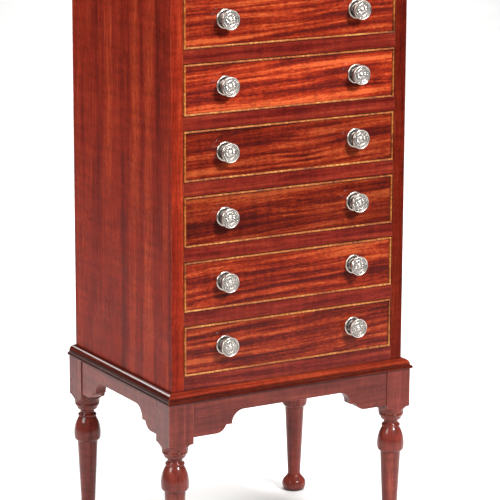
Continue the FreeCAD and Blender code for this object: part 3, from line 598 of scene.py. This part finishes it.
# %% Rails and moulding
RAIL_TONES = [
    (0.09, 0.006, 0.004), (0.16, 0.013, 0.008),
    (0.22, 0.022, 0.011), (0.31, 0.045, 0.018),
]
MOULDING_TONES = [
    (0.11, 0.009, 0.005), (0.22, 0.020, 0.008),
    (0.33, 0.038, 0.013), (0.46, 0.075, 0.024),
]
# below the first height the moulding's colour is darker, above the second it is unchanged
DARK_BELOW_HEIGHTS = (0.3215, 0.3255)
rail_wood = mahogany(
    "rail mahogany",
    "X",
    RAIL_TONES,
    ribbon=(0.010, 0.30),
    shift=(0.1, 0.9, 0.4),
    contrast=(0.40, 0.62),
    coat=0.3,
    sheen=0.08,
)
moulding_wood = {
    grain: mahogany(
        f"moulding mahogany {grain}",
        grain,
        MOULDING_TONES,
        ribbon=(0.006, 0.25),
        shift=(0.5, 0.8, 0.1),
        coat=0.8,
        sheen=0.03,
        darker_below=DARK_BELOW_HEIGHTS,
    )
    for grain in "XY"
}
print("finishes:", rail_wood.name, *[wood.name for wood in moulding_wood.values()])

# %% [markdown]
# ## The wood of the stand
#
# The stand is browner, from another tree, and well polished. Its corners darken further out than
# the chest's, partly for wax and partly as painted shade in the hollows of the legs and under the
# moulding. It could share the finish of the rails, but then chest and stand would look like one
# piece.

# %% Stand
STAND_TONES = [
    (0.08, 0.014, 0.010), (0.13, 0.020, 0.014),
    (0.17, 0.028, 0.019), (0.25, 0.050, 0.028),
]
stand_wood = {
    grain: mahogany(
        f"stand mahogany {grain}",
        grain,
        STAND_TONES,
        ribbon=(0.009, 0.20),
        shift=(0.2, 0.6, 0.8),
        coat=0.55,
        gloss=0.06,
        sheen=0.08,
        # reaches further: corners darker for wax and as painted shade
        dirt_and_shade_reach=0.013,
    )
    for grain in "XYZ"
}
print("finishes:", *[wood.name for wood in stand_wood.values()])

# %% [markdown]
# ## Cock beads
#
# The thin bead round each drawer front is a light wood that has gone golden under the polish, and
# its short bands of dark and light run across it. The bands could be modelled as inlaid blocks,
# but they are only a figure in the wood. Two noises, a quick and a slow one, share the ramp, so
# that no two places along a bead are quite alike.

# %% Golden bead
BEAD_STOPS = [
    (0, (0.13, 0.028, 0.007)),
    (0.35, (0.33, 0.080, 0.013)),
    (0.7, (0.42, 0.135, 0.025)),
    (1, (0.62, 0.28, 0.072)),
]
SLOW_SHARE, QUICK_SHARE = 0.45, 0.55
bead_wood, tree = new_material("golden bead")
place = place_on(tree)
mixed = calculate(tree, "MULTIPLY", noise(tree, place, 16.0, 3.0), SLOW_SHARE)
mixed = calculate(tree, "MULTIPLY_ADD", noise(tree, place, 210.0, 2.0), QUICK_SHARE, mixed)
colour = ramp(tree, spread(tree, mixed, 0.38, 0.62, smooth=False), BEAD_STOPS)
age = place_group(tree, wear, {"Edge width": 0.0006, "Dirt and shade reach": 0.002}, {"Vector": place})
# painted shade with a little dirt: the bead darkens where it meets the front and the rail
colour = stain(tree, colour, age.outputs["Dirt and shade"], 0.8, (0.05, 0.022, 0.010))
surface(
    tree,
    {"Roughness": 0.4, "Specular IOR Level": 0.3, "Coat Weight": 0.4, "Coat Roughness": 0.15},
    {"Base Color": colour},
)
print("finish:", bead_wood.name)

# %% [markdown]
# ## Raw woods
#
# Inside, the drawers are of quiet oak, and the back and the runners of pine that nobody polished.
# One could leave them a flat brown, as they are seldom seen, but an opened drawer shows them. The
# figure is the same group as before, with duller colours, no coat, and a stronger bump, because
# raw wood keeps its grain open.

# %% Raw woods


def raw_wood(name, grain, colours, shift, ribbon=(0.012, 0.30)):
    """An unpolished board, gone brown with age. The stored number plank moves its figure on."""
    material, tree = new_material(name)
    vector = along_grain(tree, grain)
    plank = add_node(tree, "ShaderNodeAttribute", attribute_name="plank").outputs["Fac"]
    vector = add_node(tree, "ShaderNodeVectorMath", {1: shift}, {0: vector}, operation="ADD")
    vector = vector.outputs[0]
    wood = place_group(
        tree,
        figure,
        {"Ribbon width": ribbon[0], "Ribbon length": ribbon[1], "Wander": 0.016},
        {"Vector": vector, "Shift": plank},
    )
    age = place_group(tree, wear, {"Edge width": 0.001, "Dirt and shade reach": 0.012}, {"Vector": vector})
    colour = figured(tree, wood, colours, (0.34, 0.68), (0.65, 0.35))
    colour = stain(tree, colour, wood.outputs["Pore"], 0.35, colours[0])
    # dirt and painted shade: the board darkens into its corners
    colour = stain(tree, colour, age.outputs["Dirt and shade"], 0.6, (0.05, 0.03, 0.02))
    dull = spread(tree, age.outputs["Smudge"], 0.3, 0.7, 0.62, 0.82)
    bump = add_node(
        tree,
        "ShaderNodeBump",
        {"Strength": 0.35, "Distance": 0.0004},
        {"Height": wood.outputs["Line"]},
    )
    surface(
        tree,
        {"Specular IOR Level": 0.3},
        {"Base Color": colour, "Roughness": dull, "Normal": bump.outputs["Normal"]},
    )
    return material


print("helper: raw_wood")

# %% [markdown]
# Oak is paler and has finer figure than pine. The pine boards run all three ways.

# %% Oak and pine
OAK_TONES = [
    (0.20, 0.115, 0.055), (0.33, 0.205, 0.105),
    (0.44, 0.29, 0.16), (0.55, 0.38, 0.22),
]
PINE_TONES = [
    (0.15, 0.066, 0.024), (0.24, 0.118, 0.046),
    (0.31, 0.165, 0.070), (0.38, 0.22, 0.10),
]
oak = {grain: raw_wood(f"oak {grain}", grain, OAK_TONES, (0.4, 0.2, 0.1)) for grain in "XY"}
pine = {
    grain: raw_wood(f"pine {grain}", grain, PINE_TONES, (0.9, 0.5, 0.3), (0.02, 0.4))
    for grain in "XYZ"
}
print("raw woods:", *[m.name for m in (*oak.values(), *pine.values())])

# %% [markdown]
# ## Silver and steel
#
# The knobs are cast in white metal, chased and silvered. Polishing keeps the high places bright
# and leaves a dark film in the hollows. Ambient occlusion finds deep corners, but not a shallow
# hollow, so the mesh carries a stored number called relief: 1 on the crests, 0 in the hollows. The
# hidden screws and nuts are dull steel.

# %% Metals


def metal(name, bright, film, rough, use_relief):
    """A metal with a dark film in its corners, and in its hollows where relief is stored."""
    material, tree = new_material(name)
    place = place_on(tree)
    cloud = noise(tree, place, 160.0, 3.0)
    age = place_group(tree, wear, {"Edge width": 0.0004, "Dirt and shade reach": 0.0025}, {"Vector": place})
    dark = age.outputs["Dirt and shade"]
    if use_relief:
        relief = add_node(tree, "ShaderNodeAttribute", attribute_name="relief").outputs["Fac"]
        dark = calculate(tree, "MAXIMUM", dark, spread(tree, relief, 0.75, 0.1))
    dark = calculate(tree, "MULTIPLY", dark, spread(tree, cloud, 0.25, 0.6, 0.55, 1.0))
    dull = spread(tree, cloud, 0.3, 0.7, rough, rough + 0.14)
    dull = calculate(tree, "MULTIPLY_ADD", dark, 0.3, dull)
    colour = stain(tree, (*bright, 1), dark, 0.95, film)
    surface(tree, {"Metallic": 1.0}, {"Base Color": colour, "Roughness": dull})
    return material


silver = metal("chased silver", (0.80, 0.735, 0.675), (0.04, 0.035, 0.03), 0.24, True)
steel = metal("dull steel", (0.42, 0.40, 0.38), (0.10, 0.07, 0.05), 0.38, False)
print("metals:", silver.name, "and", steel.name)

# %% [markdown]
# ## Meshes that can be worked on
#
# A CAD surface arrives as loose triangles. Before an edge can be rounded, the triangles of a copy
# are joined at their corners and the flat faces made whole again. The boards could be modelled
# afresh, but a copy has the true size without any measuring. Modifiers are then carried out, so
# that a finished piece is a plain mesh.

# %% Working meshes
SAME_CORNER, SAME_PLANE = 0.01 * MM, math.radians(0.4)


def merged_mesh(node):
    """The node's surface as one connected mesh, with its flat faces whole."""
    shape = bmesh.new()
    shape.from_mesh(nodes[node].data)
    bmesh.ops.remove_doubles(shape, verts=shape.verts, dist=SAME_CORNER)
    bmesh.ops.dissolve_limit(shape, angle_limit=SAME_PLANE, verts=shape.verts, edges=shape.edges)
    corners = [tuple(v.co) for v in shape.verts]
    faces = [[v.index for v in f.verts] for f in shape.faces]
    shape.free()
    mesh = bpy.data.meshes.new(node)
    mesh.from_pydata(corners, [], faces)
    return mesh


def new_piece(name, mesh):
    """An object at the origin for a mesh."""
    piece = bpy.data.objects.new(name, mesh)
    bpy.context.collection.objects.link(piece)
    return piece


def worked(piece):
    """Carry out the piece's modifiers and leave it a plain mesh."""
    bpy.context.view_layer.update()
    ready = piece.evaluated_get(bpy.context.evaluated_depsgraph_get())
    piece.data = bpy.data.meshes.new_from_object(ready)
    piece.modifiers.clear()
    return piece.data


def finish_piece(piece, node, body, material):
    """Give a piece its material, hide the CAD part that it replaces, and attach it to what it moves
    with.
    """
    piece.data.materials.clear()
    piece.data.materials.append(material)
    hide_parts(node)
    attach(piece, body)


print("helpers: merged_mesh, new_piece, worked, finish_piece")

# %% [markdown]
# ## Softened boards
#
# A plane leaves an arris sharp, and hands wear it round. The Bevel node could fake that in the
# shading, but only a real round changes the outline. A Bevel modifier rounds every sharp edge by
# a little over half a millimetre, which catches the light as a fine bright line. Then Weighted
# Normal keeps the broad faces truly flat: without it the rounded edges bend the shading of the
# face beside them, and a reflection runs askew along a moulding.

# %% Soften
ARRIS = 0.6 * MM
ROUNDED_OVER, CREASED_OVER = math.radians(32), math.radians(35)


def soften(node, body, material, width=ARRIS, tone=1.0, mesh=None):
    """Replace a board by a copy with rounded arrises and its own tone."""
    piece = new_piece(f"soft_{node}", mesh or merged_mesh(node))
    bevel = piece.modifiers.new("arris", "BEVEL")
    bevel.width = width
    bevel.segments = 2
    bevel.limit_method = "ANGLE"
    bevel.angle_limit = ROUNDED_OVER
    bevel.use_clamp_overlap = True
    bevel.miter_outer = "MITER_ARC"
    made = worked(piece)
    made.shade_smooth()
    made.set_sharp_from_angle(angle=CREASED_OVER)
    flat = piece.modifiers.new("flat faces", "WEIGHTED_NORMAL")
    flat.mode = "FACE_AREA"
    flat.keep_sharp = True
    made = worked(piece)
    tones = made.attributes.new("tone", "FLOAT", "POINT").data
    tones.foreach_set("value", [tone] * len(made.vertices))
    finish_piece(piece, node, body, material)
    return len(made.polygons)


print("arris", round(ARRIS / MM, 2), "mm")

# %% [markdown]
# ## The boards of the case and stand
#
# Each board gets the finish of its kind, with the grain along its length, and its own tone. The
# left moulding is much darker than the front one. The left apron's higher tone paints in light
# that falls on the stand's left side. A random tone would be less work, but the real boards can be
# told apart, so each tone is given one by one.

# %% Boards
BOARDS = {
    "side_left": (side_wood, 1.06),
    "side_right": (side_wood, 0.57),
    "top_board": (stand_wood["X"], 1.0),
    "rail_top": (rail_wood, 0.92),
    "rail_bottom": (rail_wood, 0.9),
    "drawer_rails": (rail_wood, 0.92),
    "frame_front": (moulding_wood["X"], 0.76),
    "frame_back": (moulding_wood["X"], 0.6),
    "frame_left": (moulding_wood["Y"], 0.30),
    "frame_right": (moulding_wood["Y"], 0.5),
    "apron_front": (stand_wood["X"], 0.9),
    "apron_back": (stand_wood["X"], 1.0),
    # higher tone: painted light on the stand's left side
    "apron_left": (stand_wood["Y"], 1.15),
    "apron_right": (stand_wood["Y"], 1.0),
    "leg_front_left": (stand_wood["Z"], 0.95),
    "leg_front_right": (stand_wood["Z"], 1.15),
    "leg_back_left": (stand_wood["Z"], 1.0),
    "leg_back_right": (stand_wood["Z"], 1.2),
}
for node, (material, tone) in BOARDS.items():
    faces = soften(node, "chest", material, tone=tone)
    print(node, faces, "faces")

# %% [markdown]
# ## The drawer fronts
#
# The seven fronts were cut from a few boards, so some are brighter than others. Each could have
# a finish of its own, but they differ only in tone and in their place in the figure, so one is
# enough. The list runs from the bottom drawer to the top one.

# %% Drawer fronts
FRONT_TONE = [0.80, 0.96, 0.66, 0.78, 1.26, 1.02, 1.0]
for name, tone in zip(DRAWERS, FRONT_TONE):
    faces = soften(f"{name}_front", name, front_wood, tone=tone)
    print(name, "front", faces, "faces")

# %% [markdown]
# ## The back
#
# Nobody was meant to see the back, so it is of three plain pine boards, with their tongues hidden
# in grooves and a small V where they meet. A bump could draw the V, but it would vanish from the
# side, so three boxes with bevelled edges meet in it. Each board came from another part of the
# tree, so a stored number called plank moves the figure along for each.

# %% Back boards
PLANKS = 3
SEAM, V_JOINT = 0.2 * MM, 1.6 * MM
low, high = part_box("back_boards")
plank_width = (high[0] - low[0]) / PLANKS
shape = bmesh.new()
plank_number = shape.verts.layers.float.new("plank")
for index in range(PLANKS):
    middle = [(a + b) / 2 for a, b in zip(low, high)]
    middle[0] = low[0] + plank_width * (index + 0.5)
    extent = Matrix.Diagonal((plank_width - SEAM, high[1] - low[1], high[2] - low[2], 1))
    plank = bmesh.ops.create_cube(shape, size=1, matrix=Matrix.Translation(middle) @ extent)
    for corner in plank["verts"]:
        corner[plank_number] = index + 1
planks = bpy.data.meshes.new("planks")
shape.to_mesh(planks)
shape.free()
faces = soften("back_boards", "chest", pine["Z"], width=V_JOINT, mesh=planks)
print(PLANKS, "boards,", round(plank_width / MM, 1), "mm wide,", faces, "faces")

# %% [markdown]
# ## Nails
#
# Nails with small flat heads hold the boards to the case. A loop could copy a head to each place,
# but Geometry Nodes does the same with sizes that stay adjustable: it makes one head, sets it on
# every marked spot, and leans each a little, as a hammer does. The sizes are named inputs, and the
# seed is fixed, so every run gives the same.

# %% Nail head
HEAD_TAPER = 0.72
nailing, start, end = new_group(
    "nailing",
    [
        ("Geometry", "Geometry", None),
        ("Head radius", "Float", 2.8 * MM),
        ("Head height", "Float", 1.2 * MM),
        ("Turn", "Float", math.pi / 2),
        ("Seed", "Int", 7),
        ("Steel", "Material", None),
    ],
    [("Geometry", "Geometry")],
    kind="GeometryNodeTree",
)
nail_head = add_node(
    nailing,
    "GeometryNodeMeshCone",
    {"Vertices": 10, "Side Segments": 2},
    {
        "Radius Bottom": start.outputs["Head radius"],
        "Radius Top": calculate(nailing, "MULTIPLY", start.outputs["Head radius"], HEAD_TAPER),
        "Depth": start.outputs["Head height"],
    },
)
print("nail head of", nail_head.inputs["Vertices"].default_value, "sides")

# %% [markdown]
# A nail that goes in from behind lies level, so each head is turned over by a right angle after
# its small lean and its spin have been drawn.

# %% Drive the nails
LEAST_LEAN, MOST_LEAN = (-0.08, -0.08, 0), (0.08, 0.08, 3.1)  # radians, the last a spin
leaning = add_node(
    nailing,
    "FunctionNodeRandomValue",
    {"Min": LEAST_LEAN, "Max": MOST_LEAN},
    {"Seed": start.outputs["Seed"]},
    data_type="FLOAT_VECTOR",
)
over = add_node(nailing, "ShaderNodeCombineXYZ", links={"X": start.outputs["Turn"]})
towards_back = add_node(
    nailing,
    "FunctionNodeRotateEuler",
    links={0: leaning.outputs["Value"], "Rotate By": over.outputs[0]},
)
driven = add_node(
    nailing,
    "GeometryNodeInstanceOnPoints",
    links={
        "Points": start.outputs["Geometry"],
        "Instance": nail_head.outputs["Mesh"],
        "Rotation": towards_back.outputs[0],
    },
)
real = add_node(nailing, "GeometryNodeRealizeInstances", links={"Geometry": driven.outputs[0]})
painted = add_node(
    nailing,
    "GeometryNodeSetMaterial",
    links={"Geometry": real.outputs[0], "Material": start.outputs["Steel"]},
)
nailing.links.new(painted.outputs[0], end.inputs[0])
print("nailing:", len(nailing.nodes), "nodes")

# %% [markdown]
# The spots run along the top and bottom of each board and down both edges of the back. A tree
# grows on a mesh that holds only these points, and what it makes is kept as a plain mesh.

# %% Nail the back


def grown(mesh, tree, settings):
    """Run a Geometry Nodes tree on a mesh and return the plain mesh it makes."""
    holder = new_piece("holder", mesh)
    modifier = holder.modifiers.new("growth", "NODES")
    modifier.node_group = tree
    for item in tree.interface.items_tree:
        if item.in_out == "INPUT" and item.name in settings:
            modifier[item.identifier] = settings[item.name]
    made = worked(holder)
    bpy.data.objects.remove(holder)
    return made


END_INSET, EDGE_INSET, EDGE_NAILS = 10 * MM, 4.5 * MM, 6
ACROSS_PLANK, NAIL_CREASE = (0.22, 0.78), math.radians(40)
spots = []
for index in range(PLANKS):
    for share in ACROSS_PLANK:
        across = low[0] + plank_width * (index + share)
        spots += [(across, high[1], height) for height in (low[2] + END_INSET, high[2] - END_INSET)]
for side in (low[0] + EDGE_INSET, high[0] - EDGE_INSET):
    step = (high[2] - low[2]) / (EDGE_NAILS + 1)
    spots += [(side, high[1], low[2] + step * (row + 1)) for row in range(EDGE_NAILS)]
marks = bpy.data.meshes.new("nail marks")
marks.from_pydata(spots, [], [])
nail_mesh = grown(marks, nailing, {"Steel": steel})
nail_mesh.shade_smooth()
nail_mesh.set_sharp_from_angle(angle=NAIL_CREASE)
nails = new_piece("back_nails", nail_mesh)
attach(nails, "chest")
print(len(spots), "nails,", len(nail_mesh.polygons), "faces")

# %% [markdown]
# ## A lathe for the knobs
#
# Each knob is a round head on a thin neck, cast with its bolt in one piece, over a dished plate
# with a rounded rim. Both are bodies of revolution, so an outline is spun round the axis, like
# turning on a lathe. The Screw modifier does this too, but it can't keep a number for each point.
# A point of the outline is its radius and height in millimetres, and its relief.

# %% Lathe


def lathe(shape, relief, outline, facets=72, closed=False):
    """Spin an outline round the Z axis. A closed outline is a ring, such as a plate or a nut."""
    rings = []
    for radius, height, reached in outline:
        turns = [2 * math.pi * i / facets for i in range(facets)] if radius > 0 else [0]
        places = [(radius * math.cos(a), radius * math.sin(a), height) for a in turns]
        ring = [shape.verts.new(Vector(place) * MM) for place in places]
        for corner in ring:
            corner[relief] = reached
        rings.append(ring)
    if closed:
        rings.append(rings[0])
    for ring, after in zip(rings, rings[1:]):
        for i in range(facets):
            around = [(ring, i), (ring, i + 1), (after, i + 1), (after, i)]
            corners = [where[number % len(where)] for where, number in around]
            shape.faces.new(list(dict.fromkeys(corners)))


print("helper: lathe")

# %% [markdown]
# ## The bare knob
#
# The plate is dished between its rim and a raised ring round the neck. The head widens from the
# neck to a rounded rim, and its face is sunk, with a low ring and a button in the middle. The nut
# holds it from inside the drawer front. The knob is made once, standing on the bench, because a
# height is easier to read there than on a drawer. Its widest point is 16.4 mm from the axis.

# %% Bare knob
KNOB_REACH = 21.5
PLATE = [
    (2.7, 0, 0), (16.2, 0, 0), (16.4, 0.3, 0.6), (16.4, 1.3, 1), (16.0, 2.0, 1),
    (15.4, 2.4, 1), (14.6, 2.4, 1), (14.0, 2.0, 0.9), (13.6, 1.4, 0.2), (13.1, 1.0, 0),
    (9.3, 0.9, 0.1), (8.8, 1.3, 0.4), (8.2, 1.3, 0.4), (7.8, 0.9, 0), (2.7, 0.9, 0),
]
HEAD = [
    (0, -26, 0.5), (2.2, -26, 0.5), (2.5, -25.6, 0.5), (2.5, 0.9, 0), (6.2, 0.9, 0),
    (6.5, 1.3, 0.1), (6.3, 2.4, 0.3), (6.6, 3.9, 0.4), (7.4, 5.6, 0.4), (8.8, 7.4, 0.4),
    (10.3, 9.0, 0.5), (11.8, 10.4, 0.6), (12.3, 10.8, 0.9), (12.4, 11.4, 0.9), (12.9, 11.9, 0.3),
    (13.9, 13.2, 0.4), (14.9, 14.8, 0.5), (15.7, 16.6, 0.6), (16.2, 18.2, 0.9),
    (16.4, 19.2, 1), (16.3, 19.9, 1), (15.9, 20.4, 1), (15.3, 20.5, 1), (14.8, 20.2, 1),
    (14.4, 19.6, 0.4), (13.8, 19.2, 0.2), (10.7, 18.9, 0.26), (10.3, 19.3, 0.8), (9.7, 19.3, 0.8),
    (9.3, 18.9, 0.26), (4.4, 19.1, 0.26), (3.9, 19.6, 0.9), (3.3, 19.7, 0.9), (2.9, 19.5, 0.2),
    (2.6, 20.2, 0.8), (2.2, 21.0, 1), (1.3, 21.4, 1), (0, KNOB_REACH, 1),
]
NUT = [(2.6, -24, 0.5), (6, -24, 0.5), (6, -20, 0.5), (2.6, -20, 0.5)]

shape = bmesh.new()
relief = shape.verts.layers.float.new("relief")
lathe(shape, relief, PLATE, closed=True)
lathe(shape, relief, HEAD)
lathe(shape, relief, NUT, facets=6, closed=True)
bmesh.ops.recalc_face_normals(shape, faces=shape.faces)
bare_knob = bpy.data.meshes.new("bare knob")
shape.to_mesh(bare_knob)
shape.free()
print("bare knob:", len(bare_knob.polygons), "faces")

# %% [markdown]
# ## Beads and petals
#
# The face of the knob is chased with a ring of small beads near the rim and a ring of petals round
# the button. Anything that repeats round a circle suits Geometry Nodes: one bead is made once and
# set on every point of a circle. The counts and sizes are named inputs, so another pattern takes
# a few seconds.

# %% Sizes of the chasing
chasing, start, end = new_group(
    "chasing",
    [
        ("Geometry", "Geometry", None),
        ("Beads", "Int", 30),
        ("Bead ring", "Float", 12.4 * MM),
        ("Bead size", "Float", 0.95 * MM),
        ("Petals", "Int", 12),
        ("Petal ring", "Float", 6.9 * MM),
        ("Petal length", "Float", 2.4 * MM),
        ("Petal width", "Float", 1.25 * MM),
        ("Rise", "Float", 0.55 * MM),
        ("Height", "Float", 19.0 * MM),
        ("Silver", "Material", None),
    ],
    [("Geometry", "Geometry")],
    kind="GeometryNodeTree",
)
print("chasing:", len(chasing.interface.items_tree) - 1, "inputs")

# %% [markdown]
# A bead and a petal are the same small dome, stretched to a length and a width. Each points away
# from the middle, which matters for the petals and does no harm to the round beads.

# %% Rings of ornaments


def ring_of(count, ring_size, length, width):
    """One ring of small domes that point outwards. Each argument is the name of an input."""
    circle = add_node(
        chasing,
        "GeometryNodeMeshCircle",
        links={"Vertices": start.outputs[count], "Radius": start.outputs[ring_size]},
    )
    place = chasing.nodes.new("GeometryNodeInputPosition")
    outward = add_node(
        chasing,
        "FunctionNodeAlignRotationToVector",
        links={"Vector": place.outputs[0]},
        axis="X",
    )
    dome = add_node(
        chasing, "GeometryNodeMeshUVSphere", {"Segments": 8, "Rings": 5, "Radius": 1.0}
    )
    sizes = {"X": start.outputs[length], "Y": start.outputs[width], "Z": start.outputs["Rise"]}
    size = add_node(chasing, "ShaderNodeCombineXYZ", links=sizes)
    placed = add_node(
        chasing,
        "GeometryNodeInstanceOnPoints",
        links={
            "Points": circle.outputs[0],
            "Instance": dome.outputs["Mesh"],
            "Rotation": outward.outputs[0],
            "Scale": size.outputs[0],
        },
    )
    return placed.outputs[0]


both = chasing.nodes.new("GeometryNodeJoinGeometry")
chasing.links.new(ring_of("Beads", "Bead ring", "Bead size", "Bead size"), both.inputs[0])
chasing.links.new(ring_of("Petals", "Petal ring", "Petal length", "Petal width"), both.inputs[0])
print("rings:", len(chasing.nodes), "nodes so far")

# %% [markdown]
# On the real knob a punch raised the ornaments from the metal of the face. Here the rings are
# lifted to the sunk face, made real, and marked as crests that stay bright. They are joined to the
# bare knob and sit a little way into it, which looks the same and needs no cutting.

# %% Chase the knob
CREST = 0.95
lift = add_node(chasing, "ShaderNodeCombineXYZ", links={"Z": start.outputs["Height"]})
raised = add_node(
    chasing,
    "GeometryNodeTransform",
    links={"Geometry": both.outputs[0], "Translation": lift.outputs[0]},
)
real = add_node(chasing, "GeometryNodeRealizeInstances", links={"Geometry": raised.outputs[0]})
crest = add_node(
    chasing,
    "GeometryNodeStoreNamedAttribute",
    {"Name": "relief", "Value": CREST},
    {"Geometry": real.outputs[0]},
    data_type="FLOAT",
    domain="POINT",
)
whole = chasing.nodes.new("GeometryNodeJoinGeometry")
chasing.links.new(start.outputs["Geometry"], whole.inputs[0])
chasing.links.new(crest.outputs[0], whole.inputs[0])
dressed = add_node(
    chasing,
    "GeometryNodeSetMaterial",
    links={"Geometry": whole.outputs[0], "Material": start.outputs["Silver"]},
)
chasing.links.new(dressed.outputs[0], end.inputs[0])
knob_mesh = grown(bare_knob, chasing, {"Silver": silver})
print("chased knob:", len(knob_mesh.polygons), "faces")

# %% [markdown]
# ## Two knobs on every drawer
#
# The places could be typed in, but the CAD box of a drawer's knobs already has them: one knob at
# each end of the box, its axis one radius of the CAD knob further in. That knob is a millimetre
# wider all round than the finished one, which follows the photograph more closely. The finished
# knob is laid on its side there, twice. The pair is one piece, and slides with its drawer.

# %% Place the knobs
CAD_KNOB_RADIUS, KNOB_CREASE = 17.4 * MM, math.radians(50)
LAID = Matrix.Rotation(math.radians(90), 4, "X")
for name in DRAWERS:
    low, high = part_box(f"{name}_knobs")
    face = low[1] + KNOB_REACH * MM
    shape = bmesh.new()
    for across in (low[0] + CAD_KNOB_RADIUS, high[0] - CAD_KNOB_RADIUS):
        known = len(shape.verts)
        shape.from_mesh(knob_mesh)
        shape.verts.ensure_lookup_table()
        spot = Matrix.Translation((across, face, (low[2] + high[2]) / 2)) @ LAID
        bmesh.ops.transform(shape, matrix=spot, verts=shape.verts[known:])
    pair = bpy.data.meshes.new(f"{name} knobs")
    shape.to_mesh(pair)
    shape.free()
    pair.shade_smooth()
    pair.set_sharp_from_angle(angle=KNOB_CREASE)
    finish_piece(new_piece(f"{name}_chased_knobs", pair), f"{name}_knobs", name, silver)
    print(name, "knobs at height", round((low[2] + high[2]) / 2, 3))

# %% [markdown]
# ## The inner pieces
#
# Runners, stops, glue blocks, linings and bottoms keep their CAD shapes, which are as plain as the
# real ones: to round their arrises would add faces that no one sees. They only need their wood,
# with the grain along their length. The beads take the golden finish, and the screws the steel.

# %% Plain finishes
INNER = {
    "bottom_board": pine["X"],
    "drawer_runners": pine["Y"],
    "top_kickers": pine["Y"],
    "drawer_stops": pine["X"],
    "glue_blocks": pine["X"],
    "screws": steel,
}
for name in DRAWERS:
    INNER[f"{name}_cock_beads"] = bead_wood
    INNER[f"{name}_linings"] = oak["Y"]
    INNER[f"{name}_bottom"] = oak["X"]
for node, material in INNER.items():
    nodes[node].data.materials.clear()
    nodes[node].data.materials.append(material)
print(len(INNER), "inner pieces finished")

# %% [markdown]
# ## The floor
#
# The chest stands on pale paper. A perfect white would look like no floor at all, and paper isn't
# quite even, so a slow noise moves its grey by a few parts in a hundred. The floor is only the
# stage and no part of the chest.

# %% Floor
bpy.ops.mesh.primitive_plane_add(size=60)
floor = bpy.context.object
floor.name = "floor"
pale, paper = new_material("pale paper")
fibre = noise(paper, place_on(paper), 3.0, 4.0)
tint = ramp(paper, fibre, [(0.3, (0.90, 0.90, 0.89)), (0.7, (0.94, 0.94, 0.94))])
surface(paper, {"Roughness": 0.9}, {"Base Color": tint})
floor.data.materials.append(pale)
print("floor", *[round(length) for length in floor.dimensions[:2]], "m")

# %% [markdown]
# ## The light
#
# A long ceiling of light behind the chest makes the paper white. The key lamp is high and to the
# right, so the knobs throw their shadows down and to the left. A second soft lamp on the left
# lights the side board, and a narrow one at the back draws a bright line along the left moulding.
# A white room would be the easy way to light it all, but a polished surface shows whatever it
# faces, and the red would wash out of the wood. So the room itself stays dim, and each lamp has a
# fan, as if a grid kept its light together.

# %% Room air and lamps
world = bpy.data.worlds.new("studio air")
bpy.context.scene.world = world
world.use_nodes = True
air = world.node_tree.nodes["Background"]
air.inputs["Color"].default_value = (1.0, 0.98, 0.96, 1)
DIM = 0.09
air.inputs["Strength"].default_value = DIM


def lamp(name, place, towards, size, power, fan):
    """A rectangular soft lamp at one place, facing another. The fan is in degrees."""
    light = bpy.data.lights.new(name, "AREA")
    light.shape = "RECTANGLE"
    light.size, light.size_y = size
    light.energy = power
    light.spread = math.radians(fan)
    made = new_piece(name, light)
    made.location = place
    made.rotation_euler = (Vector(towards) - Vector(place)).to_track_quat("-Z", "Y").to_euler()
    print(name, power, "W")
    return made


lamp("key lamp", (0.90, -3.60, 3.30), MIDDLE, (1.0, 1.0), 34, 60)
lamp("left lamp", (-3.65, -0.65, 2.95), MIDDLE, (2.2, 2.0), 21, 60)
lamp("back lamp", (-0.9, 4.0, 2.85), (0, 0, 0.4), (2.4, 0.55), 8, 90)
ceiling = lamp("ceiling of light", (2.5, 4.3, 4.2), (2.5, 4.3, 0), (2.4, 10.0), 150, 80)
ceiling.rotation_euler = (0, 0, -TURN)
bpy.context.scene.view_settings.view_transform = "Standard"
